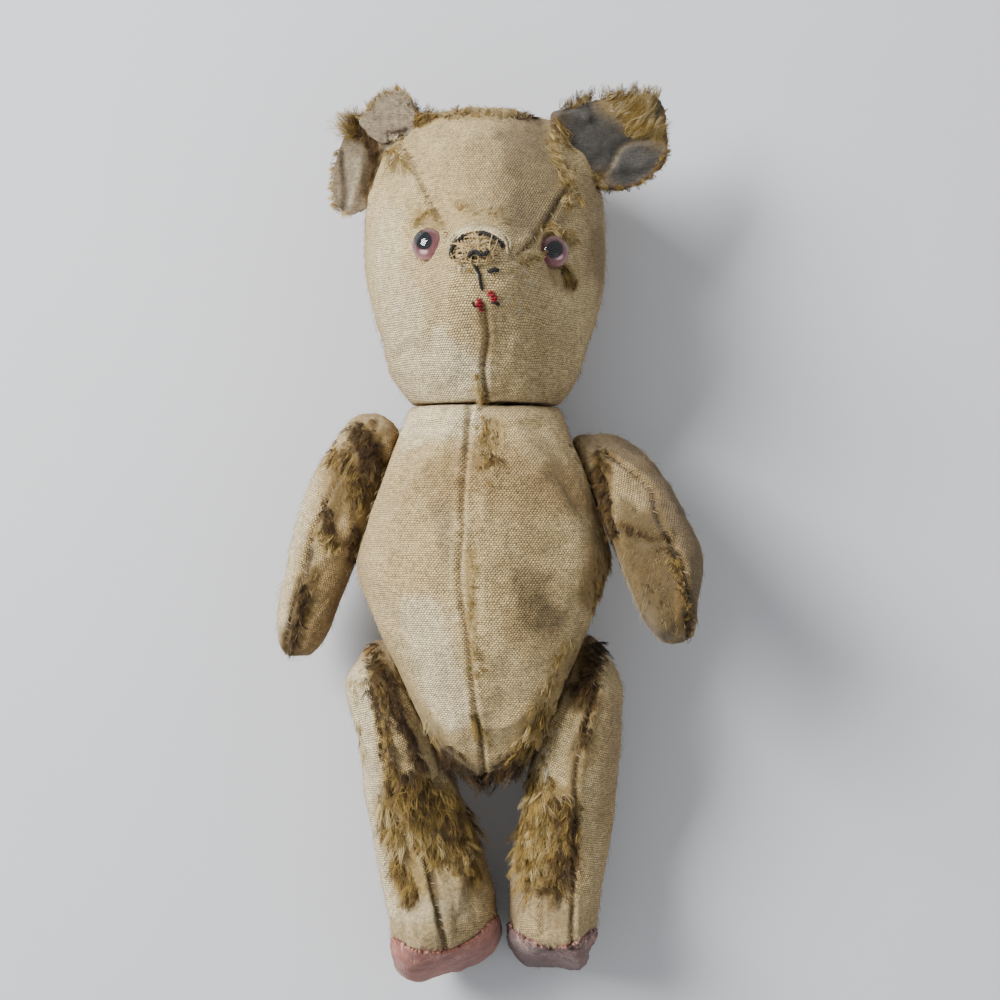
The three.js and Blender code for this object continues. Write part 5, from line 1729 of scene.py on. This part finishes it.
def paint_slate_ear(mesh, places, spots):
    tone = srgb(76, 74, 70) * (1 + 0.16 * rough(places, 3, 61) + 0.1 * rough(places, 1, 62))[:, None]
    scuffed = np.clip(0.5 + rough(places, 4.5, 63), 0, 1)[:, None]
    tone = tone + 0.3 * scuffed * (srgb(126, 118, 108) - tone)
    tone = dabbed(tone, spots, GOLD_PART, 3.6, srgb(150, 126, 84))
    tone = dabbed(tone, spots, [(33, 121), (45, 121.5)], 2.4, srgb(150, 128, 88))
    tone = dabbed(tone, spots, SLATE_CREASE, 0.8, srgb(176, 158, 126), 0.75)
    tone = dabbed(tone, spots, SLATE_LOWER_RIM, 1.1, srgb(116, 88, 56), 0.8)
    tone = dabbed(tone, spots, EAR_BASE, 2.6, srgb(168, 140, 104), 0.95)
    tone = dabbed(tone, spots, [(29, 120.4), (30, 116.8)], 0.9, srgb(40, 34, 30), 0.7)
    store_flap(mesh, places, tone, near_line(spots, GOLD_PART, 4) * 0.6)


def paint_tan_flap(mesh, places, spots):
    tone = srgb(178, 160, 132) * (1 + 0.08 * rough(places, 4, 64) + 0.08 * rough(places, 1, 65))[:, None]
    tone = dabbed(tone, spots, TAN_FLAP_EDGE, 0.8, srgb(60, 46, 30), 0.9)
    tone = dabbed(tone, spots, TAN_FLAP_HOLES, 0.9, srgb(40, 30, 22), 0.9)
    store_flap(mesh, places, tone, np.zeros(len(places)))


def paint_tan_lobe(mesh, places, spots):
    tone = srgb(166, 148, 118) * (1 + 0.12 * rough(places, 4, 66) + 0.1 * rough(places, 1, 67))[:, None]
    # Painted highlight along the lobe's ridge.
    tone = dabbed(tone, spots, LOBE_RIDGE, 1.3, srgb(206, 188, 154), 0.7)
    # Painted shade in the groove beside it.
    tone = dabbed(tone, spots, LOBE_GROOVE, 0.8, srgb(84, 68, 46), 0.8)
    tone = dabbed(tone, spots, DARK_FOLD, 2.6, srgb(58, 42, 26), 0.95)
    store_flap(mesh, places, tone, near_line(spots, DARK_FOLD, 2.6))


def store_flap(mesh, places, tone, nap):
    """The flap's back is the bear's brown plush; its front is the lining."""
    back = read_places(mesh, "normal")[:, 2] < 0
    tone[back] = srgb(140, 112, 70) * (1 + 0.15 * rough(places[back], 3, 68))[:, None]
    nap = np.where(back, 0.8, nap)
    put_values(mesh, "tone", np.clip(tone, 0, 1), "FLOAT_COLOR")
    put_values(mesh, "nap", nap)


EAR_PILE = {
    "slate": [
        ([(35.6, 121.6), (38.2, 116.5), (40.4, 111.6)], 1.2, 60, 9, 9, 42, 0.22, 0.3, "gold gold pale"),
        ([(40.6, 111.8), (44, 111.2), (49, 110.4)], 1, 40, 8, 7.2, 62, 0.22, 0.3, "gold pale"),
        ([(40.6, 118), (45, 117.5)], 2.2, 50, 8, 6.2, 50, 0.22, 0.3, "gold pale pale"),
        ([(36.3, 119.9), (40.3, 118.6)], 1, 22, 9, 3.4, 40, 0.6, 1, "white pale"),
        ([(22, 119.6), (31, 121.8), (40, 123), (48.4, 122)], 0.8, 80, 9, 4.2, 72, 0.3, 0.6,
         "gold pale brown"),
        ([(49.4, 119), (50.3, 113), (50.2, 106), (47, 101.6)], 0.6, 60, 8, 2, 20, 0.3, 0.8, "gold brown"),
        ([(47, 101.4), (42, 98.4), (35, 97.6), (26, 98.4)], 0.7, 80, 8, 1.9, 275, 0.4, 0.9,
         "brown dark gold"),
        ([(20, 116.5), (20.5, 110), (22.5, 104.5)], 1.4, 60, 8, 5, 300, 0.7, 1.1, "pale gold brown"),
        ([(20.5, 104), (26, 101), (33, 99.6)], 1.7, 90, 7, 2.8, 330, 0.75, 1.3, "pale brown gold"),
    ],
    "flap": [
        ([(-34.8, 117), (-30, 122.6), (-24.6, 124.6), (-20.8, 122)], 0.5, 70, 7, 1.8, 105, 0.4, 0.7,
         "pale gold"),
        ([(-20.6, 121.6), (-18.4, 115.2)], 0.5, 34, 8, 2.2, 330, 0.4, 0.6, "dark brown"),
        ([(-28, 111.6), (-22.6, 112.4)], 0.7, 34, 6, 2, 260, 0.5, 1.2, "white pale dark"),
        ([(-20, 114.4), (-16.6, 117)], 1.4, 50, 8, 4, 20, 0.6, 0.9, "gold brown"),
    ],
    "lobe": [
        ([(-37.6, 111.4), (-35, 113.6)], 0.8, 26, 8, 7.5, 165, 0.5, 0.9, "gold gold pale"),
        ([(-37.6, 113.5), (-35.4, 116)], 0.8, 22, 7, 6, 120, 0.5, 0.8, "gold brown"),
        ([(-35.6, 114.4), (-31.4, 109.4), (-30, 102), (-32, 94.6)], 1.4, 150, 9, 3.6, 250, 0.6, 0.8,
         "dark dark brown"),
        ([(-41.4, 107.8), (-42.9, 100), (-42, 92.6), (-38, 89.4)], 0.5, 70, 7, 1.8, 200, 0.4, 0.7,
         "pale gold"),
    ],
}

# ---- settings


class BearCloth(bpy.types.PropertyGroup):
    """Sizes and strengths of the cloth."""

    stuffing_pressure: bpy.props.FloatProperty(
        name="Stuffing Pressure", description="How hard the stuffing presses the cloth out", default=4.0)
    slack: bpy.props.FloatProperty(
        name="Slack", description="How much longer the cloth is than the form it covers", default=0.03)
    swell: bpy.props.FloatProperty(
        name="Swell", description="The most the stuffing may move the cloth", default=1.2 * MM, unit="LENGTH")
    seam_focus: bpy.props.FloatProperty(
        name="Seam Focus", description="How far the net's columns are drawn in towards the middle seam",
        default=0.3, min=0, max=0.6, subtype="FACTOR")
    seam_depth: bpy.props.FloatProperty(
        name="Seam Depth", description="How deep a seam draws the cloth in",
        default=0.9 * MM, unit="LENGTH")
    seam_width: bpy.props.FloatProperty(
        name="Seam Width", description="Half width of the furrow along a seam",
        default=0.85 * MM, unit="LENGTH")
    pucker: bpy.props.FloatProperty(
        name="Pucker", description="Height of the puckers beside a seam", default=0.28 * MM, unit="LENGTH")
    stitch_pitch: bpy.props.FloatProperty(
        name="Stitch Pitch", description="Distance between hand stitches", default=2.3 * MM, unit="LENGTH")
    lumps: bpy.props.FloatProperty(
        name="Lumps", description="Height of the lumps of wood wool under the cloth",
        default=0.55 * MM, unit="LENGTH")


class BearPile(bpy.types.PropertyGroup):
    """The mohair pile that is left."""

    thickness: bpy.props.FloatProperty(
        name="Hair Thickness", description="Radius of a hair or a few stuck together",
        default=0.068 * MM, unit="LENGTH")
    length_scale: bpy.props.FloatProperty(
        name="Length Scale", description="Lengthens or shortens all the pile", default=1.0, min=0.1)
    density: bpy.props.FloatProperty(
        name="Density", description="More or fewer hairs in each lock", default=1.12, min=0.1)


class BearStudio(bpy.types.PropertyGroup):
    """Camera, floor and light."""

    lens: bpy.props.FloatProperty(
        name="Lens", description="Focal length of the camera", default=70.1, unit="CAMERA")
    floor_size: bpy.props.FloatProperty(
        name="Floor Size", description="Width of the floor", default=60.0, unit="LENGTH")
    floor_colour: bpy.props.FloatVectorProperty(
        name="Floor Colour", description="Colour of the floor", default=(0.555, 0.562, 0.58),
        size=3, subtype="COLOR")
    key_power: bpy.props.FloatProperty(
        name="Key Power", description="Power of the soft light at the upper left", default=39.5, unit="POWER")
    fill_power: bpy.props.FloatProperty(
        name="Fill Power", description="Power of the soft light at the right", default=1.2, unit="POWER")
    sky_strength: bpy.props.FloatProperty(
        name="Sky Strength", description="Strength of the even light from all round", default=0.7)


# ---- operators

skins = {}


class BEAR_OT_studio(bpy.types.Operator):
    """Adds the camera straight above the bear, the floor and the lights"""

    bl_idname = "bear.studio"
    bl_label = "Studio"

    def execute(self, context):
        studio = context.scene.bear_studio
        camera = bpy.data.cameras.new("Overhead camera")
        camera.lens = studio.lens
        camera.sensor_width = 36
        camera.clip_start = 0.01
        holder = bpy.data.objects.new("Overhead camera", camera)
        holder.location = row(EYE_LEVEL)
        context.scene.collection.objects.link(holder)
        context.scene.camera = holder

        net = bmesh.new()
        bmesh.ops.create_grid(net, x_segments=2, y_segments=2, size=studio.floor_size / 2)
        floor = mesh_object("floor", net_mesh(net, "floor"))
        material, w = new_material("Floor", Roughness=0.85)
        cloud = w.noise(w.place(), 9.0, 4.0)
        shade = colour4(studio.floor_colour)
        darker = colour4([0.93 * c for c in studio.floor_colour])
        w.give("Base Color", w.mix(cloud, darker, shade))
        floor.data.materials.append(material)

        for name, place, size, power in (
            ("Key light", (-0.85, 0.5, 0.8), 0.6, studio.key_power),
            ("Fill light", (0.8, -0.5, 0.8), 0.9, studio.fill_power),
        ):
            light = bpy.data.lights.new(name, "AREA")
            light.size = size
            light.energy = power
            lamp = bpy.data.objects.new(name, light)
            lamp.location = place
            lamp.rotation_euler = (-Vector(place)).to_track_quat("-Z", "Y").to_euler()
            context.scene.collection.objects.link(lamp)

        world = bpy.data.worlds.new("Sky")
        world.use_nodes = True
        sky = world.node_tree.nodes["Background"]
        sky.inputs["Color"].default_value = (0.93, 0.96, 1.0, 1)
        sky.inputs["Strength"].default_value = studio.sky_strength
        context.scene.world = world
        return {"FINISHED"}


class BEAR_OT_skins(bpy.types.Operator):
    """Makes the stuffed cloth forms: torso, head, arms and legs"""

    bl_idname = "bear.skins"
    bl_label = "Stuffed Forms"

    def execute(self, context):
        cloth = context.scene.bear_cloth
        fabrics = {
            "torso": worn_cloth("Ribbed cloth", 0.86, 0.6, 0.75, 0.75, srgb(124, 102, 60)),
            "head": worn_cloth("Close cloth", 0.74, 0.62, 0.85, 0.8, srgb(132, 110, 66)),
            "limb": worn_cloth("Limb cloth", 0.74, 0.62, 0.8, 0.95, srgb(122, 100, 58)),
        }
        for name in FORMS:
            skin = build_skin(name)
            lumps = rough(skin.places, 9, 1) + 0.45 * rough(skin.places, 4, 2)
            paint_skin(skin)
            sculpt(skin)
            skin.refresh()
            front, back = seams_of(skin)
            skin.seams = front + back
            if name == "head":
                seat_eyes(skin)
            skin.push(cloth.lumps / MM * lumps * 0.6)
            for line in front + back:
                sew(skin, line, cloth.seam_depth / MM, cloth.seam_width / MM, cloth.pucker / MM,
                    2 * cloth.stitch_pitch / MM)
            skin.push(0.1 * rough(skin.places, 1.1, 5) * (0.3 + skin.nap))
            skin.places = skin.form.walled(skin.places)
            skin.refresh()
            store_skin(skin)
            skin.thing.data.materials.append(fabrics.get(name) or fabrics["limb"])
            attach(skin.thing, name)
            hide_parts(*REPLACED[name])
            skins[name] = skin
        return {"FINISHED"}


class BEAR_OT_eyes(bpy.types.Operator):
    """Adds the glass eyes: a clear flattened ball over a painted iris"""

    bl_idname = "bear.eyes"
    bl_label = "Glass Eyes"

    def execute(self, context):
        skin = skins["head"]
        glass, iris = glass_material(), painted_iris_material()
        for side in SIDES:
            outward = skin.eye_outward[side]
            centre = skin.eye_centre[side]
            ball = dome(f"eye_{side}_glass", centre, outward, EYE_RADIUS[side], EYE_FLATTEN)
            ball.data.materials.append(glass)
            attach(ball, "head")
            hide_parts(f"eye_{side}")
            core = dome(
                f"eye_{side}_iris", centre - 0.9 * outward, outward, 0.86 * EYE_RADIUS[side], 0.34, 72, 48)
            paint_iris(core, side)
            core.data.materials.append(iris)
            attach(core, "head")
        return {"FINISHED"}


class BEAR_OT_face(bpy.types.Operator):
    """Stitches the nose, mouth and tongue with thread"""

    bl_idname = "bear.face"
    bl_label = "Face Threads"

    def execute(self, context):
        rng = np.random.default_rng(41)
        skin = skins["head"]
        thread = hair_material("Thread", roughness=0.7, sheen=0.2)

        nose = Yarn()
        for spots, radius, lift, plies in EMBROIDERY[:NOSE_LINES]:
            embroider(skin, nose, spots, radius, lift, plies, BLACK_THREAD, rng)
        for shift in (0.0, 0.8, -0.7, 0.3, -1.3, 1.4):
            spots = np.array([(x * (1 + 0.05 * shift), y + 0.5 * shift) for x, y in NOSE_ARCH])
            first, last = rng.integers(0, 3), len(spots) - rng.integers(0, 3)
            arch = (spots + rng.normal(0, 0.2, spots.shape))[first:last]
            lift = 0.45 + 0.2 * rng.random()
            embroider(skin, nose, arch, 0.36, lift, 2, CREAM_THREAD * rng.uniform(0.75, 1.1), rng)
        for k in range(16):
            t = k / 15
            left, right = (-8.0 + 1.6 * t, 77.0 + 5.2 * t), (3.9 - 2.6 * t, 76.4 + 6.2 * t)
            left = (left[0] + rng.normal(0, 0.5), left[1] + rng.normal(0, 0.3))
            right = (right[0] + rng.normal(0, 0.7), right[1] + rng.normal(0, 0.3))
            bow = (
                0.5 * (left[0] + right[0]) + rng.normal(0, 1.0),
                0.5 * (left[1] + right[1]) + rng.normal(0, 0.7),
            )
            tint = TAN_THREAD + (CREAM_THREAD - TAN_THREAD) * rng.uniform(0, 0.8)
            embroider(skin, nose, [left, bow, right], 0.27, 0.8 + 0.5 * math.sin(math.pi * t), 2, tint, rng)
        for _ in range(34):
            start = np.array([rng.uniform(-7.6, 2.6), rng.uniform(76.4, 82)])
            turn = rng.uniform(0, math.pi)
            step = np.array([math.cos(turn), math.sin(turn)]) * rng.uniform(1.2, 2.6)
            embroider(skin, nose, [start - step, start + rng.normal(0, 0.4, 2), start + step], 0.2, 1.6, 2,
                      TAN_THREAD * rng.uniform(0.7, 1.15), rng)
        self.finish(nose.made("nose_threads", thread, 5), "nose_stitching", "black_thread")

        mouth = Yarn()
        for spots, radius, lift, plies in EMBROIDERY[NOSE_LINES:]:
            embroider(skin, mouth, spots, radius, lift, plies, BLACK_THREAD, rng)
        self.finish(mouth.made("mouth_threads", thread, 5), "mouth_stitching", "black_thread")

        tongue = Yarn()
        for bundle in RED_STITCHES:
            for start, end in bundle:
                for _ in range(2):
                    a, b = np.array(start) + rng.normal(0, 0.15, 2), np.array(end) + rng.normal(0, 0.15, 2)
                    embroider(skin, tongue, [a, (a + b) / 2, b], 0.36, 0.5, 2, RED_THREAD, rng)
        self.finish(tongue.made("tongue_threads", thread, 5), "tongue_thread", "red_thread")
        return {"FINISHED"}

    def finish(self, thing, node, slot):
        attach(thing, "head")
        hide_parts(node)


class BEAR_OT_pads(bpy.types.Operator):
    """Sews the felt soles onto the feet"""

    bl_idname = "bear.pads"
    bl_label = "Foot Pads"

    def execute(self, context):
        felts = {
            "right": pad_material("Worn felt", srgb(118, 64, 52), srgb(160, 100, 84)),
            # The left sole's felt is a darker copy of the same felt: painted shade, as it lies in the shadow
            # of the hem.
            "left": pad_material("Grubby felt", srgb(62, 34, 30), srgb(100, 62, 54)),
        }
        for side in SIDES:
            skin = skins[f"leg_{side}"]
            thing = make_pad(skin, side, felts[side])
            under = smoothstep(beyond_sole_seam(skin, side, 0), 0.3, 1.5)
            skin.push(-1.0 * under)
            skin.refresh()
            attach(thing, f"leg_{side}")
            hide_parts(f"foot_pad_{side}")
        return {"FINISHED"}


class BEAR_OT_ears(bpy.types.Operator):
    """Makes the torn ears, each a folded flap of lining on plush, with their fringes"""

    bl_idname = "bear.ears"
    bl_label = "Ears"

    def execute(self, context):
        slate_cloth = worn_cloth("Slate lining", 0.45, 0.42, 0.6, 0.35, srgb(150, 122, 74))
        tan_cloth = worn_cloth("Tan lining", 0.4, 0.42, 0.6, 0.3, srgb(120, 94, 58))
        flaps = {"slate": Flap(slate_height), "flap": Flap(tan_flap_height), "lobe": Flap(tan_lobe_height)}
        made = [
            (make_flap("ear_left_cloth", SLATE_EAR, flaps["slate"], slate_cloth, paint_slate_ear, seed=71),
             ("ear_left_back", "ear_left_lining"), (0.040, 0.032), "grey_lining"),
            (make_flap("ear_right_flap", TAN_FLAP, flaps["flap"], tan_cloth, paint_tan_flap, seed=73),
             ("ear_right_lining",), (0.022, 0.018), "tan_lining"),
            (make_flap("ear_right_lobe", TAN_LOBE, flaps["lobe"], tan_cloth, paint_tan_lobe, seed=75),
             ("ear_right_back",), (0.020, 0.027), "tan_lining"),
        ]
        for thing, nodes, flat, slot in made:
            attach(thing, "head")
            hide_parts(*nodes)
        rng = np.random.default_rng(131)
        yarn = Yarn()
        for name, patches in EAR_PILE.items():
            for patch in patches:
                grow_patch(flaps[name], yarn, patch, rng, context.scene.bear_pile)
        plant(yarn, "ear_fringes", hair_material("Ear fringe"), "head")
        return {"FINISHED"}


class BEAR_OT_stitches(bpy.types.Operator):
    """Sews short slanted stitches along every seam"""

    bl_idname = "bear.stitches"
    bl_label = "Seam Stitches"

    def execute(self, context):
        cloth = context.scene.bear_cloth
        pitch = cloth.stitch_pitch / MM
        thread = hair_material("Seam thread", roughness=0.75, sheen=0.15)
        rng = np.random.default_rng(17)
        for name, skin in skins.items():
            yarn = Yarn()
            for line in skin.seams:
                along = distances_along(line)
                for at in np.arange(pitch, along[-1] - pitch, pitch):
                    place = np.array([np.interp(at, along, line[:, k]) for k in range(3)])
                    ahead = np.array([np.interp(at + 0.4, along, line[:, k]) for k in range(3)])
                    _, normal, _, _ = skin.tree.find_nearest(Vector(place))
                    if rng.random() < 0.12:
                        continue
                    along_seam = unit(ahead - place)
                    across = np.cross(np.array(normal), along_seam)
                    reach_out = 0.75 * rng.uniform(0.8, 1.2) * across + 0.45 * along_seam
                    ends = [place - reach_out, place, place + reach_out]
                    path = []
                    for end, lift in zip(ends, (-0.1, 0.35, -0.1)):
                        spot, outward, _, _ = skin.tree.find_nearest(Vector(end))
                        path.append(np.array(spot) + lift * np.array(outward))
                    if np.linalg.norm(path[2] - path[0]) > 2.6:
                        continue
                    tint = srgb(96, 74, 46) + (srgb(196, 176, 136) - srgb(96, 74, 46)) * rng.uniform(0, 0.8)
                    yarn.add(resampled(path, 0.3), 0.14, tint)
            thing = yarn.made(f"{name}_stitches", thread, 4)
            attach(thing, name)
        return {"FINISHED"}


class BEAR_OT_hardware(bpy.types.Operator):
    """Gives the joint discs their pressed card and the pins, washers and eye shanks their steel"""

    bl_idname = "bear.hardware"
    bl_label = "Joint Hardware"

    def execute(self, context):
        card, steel = card_material(), steel_material()
        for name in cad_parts:
            thing = bpy.data.objects.get(name)
            if thing is None or thing.hide_render:
                continue
            if name.endswith("_disc"):
                material = card
            elif name.endswith(("_washer", "_pin", "_shank")):
                material = steel
            else:
                continue
            for place in thing.material_slots:
                place.material = material
        return {"FINISHED"}


class BEAR_OT_pile(bpy.types.Operator):
    """Grows the locks of mohair that are left, and the short broken hairs between them"""

    bl_idname = "bear.pile"
    bl_label = "Mohair Pile"

    def execute(self, context):
        settings = context.scene.bear_pile
        hair = hair_material("Mohair")
        for order, (name, patches) in enumerate(PILE.items()):
            rng = np.random.default_rng(100 + order)
            yarn = Yarn()
            for patch in patches:
                grow_patch(skins[name], yarn, patch, rng, settings)
            grow_nap(skins[name], yarn, NAP_HAIRS[name], rng, settings)
            plant(yarn, f"{name}_pile", hair, name)
        return {"FINISHED"}


class BEAR_PT_panel(bpy.types.Panel):
    """Lists the bear's pieces in the order they are made"""

    bl_label = "Threadbare Bear"
    bl_idname = "BEAR_PT_panel"
    bl_space_type = "VIEW_3D"
    bl_region_type = "UI"
    bl_category = "Bear"

    def draw(self, context):
        for operator in OPERATORS:
            self.layout.operator(operator.bl_idname)
        for settings in (context.scene.bear_cloth, context.scene.bear_pile, context.scene.bear_studio):
            for key in settings.__annotations__:
                self.layout.prop(settings, key)


SETTINGS = {"bear_cloth": BearCloth, "bear_pile": BearPile, "bear_studio": BearStudio}
OPERATORS = [
    BEAR_OT_studio, BEAR_OT_skins, BEAR_OT_pads, BEAR_OT_ears, BEAR_OT_eyes, BEAR_OT_face, BEAR_OT_stitches,
    BEAR_OT_pile, BEAR_OT_hardware,
]


def register():
    for kind in (*SETTINGS.values(), *OPERATORS, BEAR_PT_panel):
        bpy.utils.register_class(kind)
    for key, kind in SETTINGS.items():
        setattr(bpy.types.Scene, key, bpy.props.PointerProperty(type=kind))


def unregister():
    for key in SETTINGS:
        delattr(bpy.types.Scene, key)
    for kind in (BEAR_PT_panel, *reversed(OPERATORS), *SETTINGS.values()):
        bpy.utils.unregister_class(kind)


def main():
    register()
    for operator in OPERATORS:
        family, action = operator.bl_idname.split(".")
        if getattr(getattr(bpy.ops, family), action)() != {"FINISHED"}:
            raise RuntimeError(f"{operator.bl_label} didn't finish")


if __name__ == "__main__":
    main()
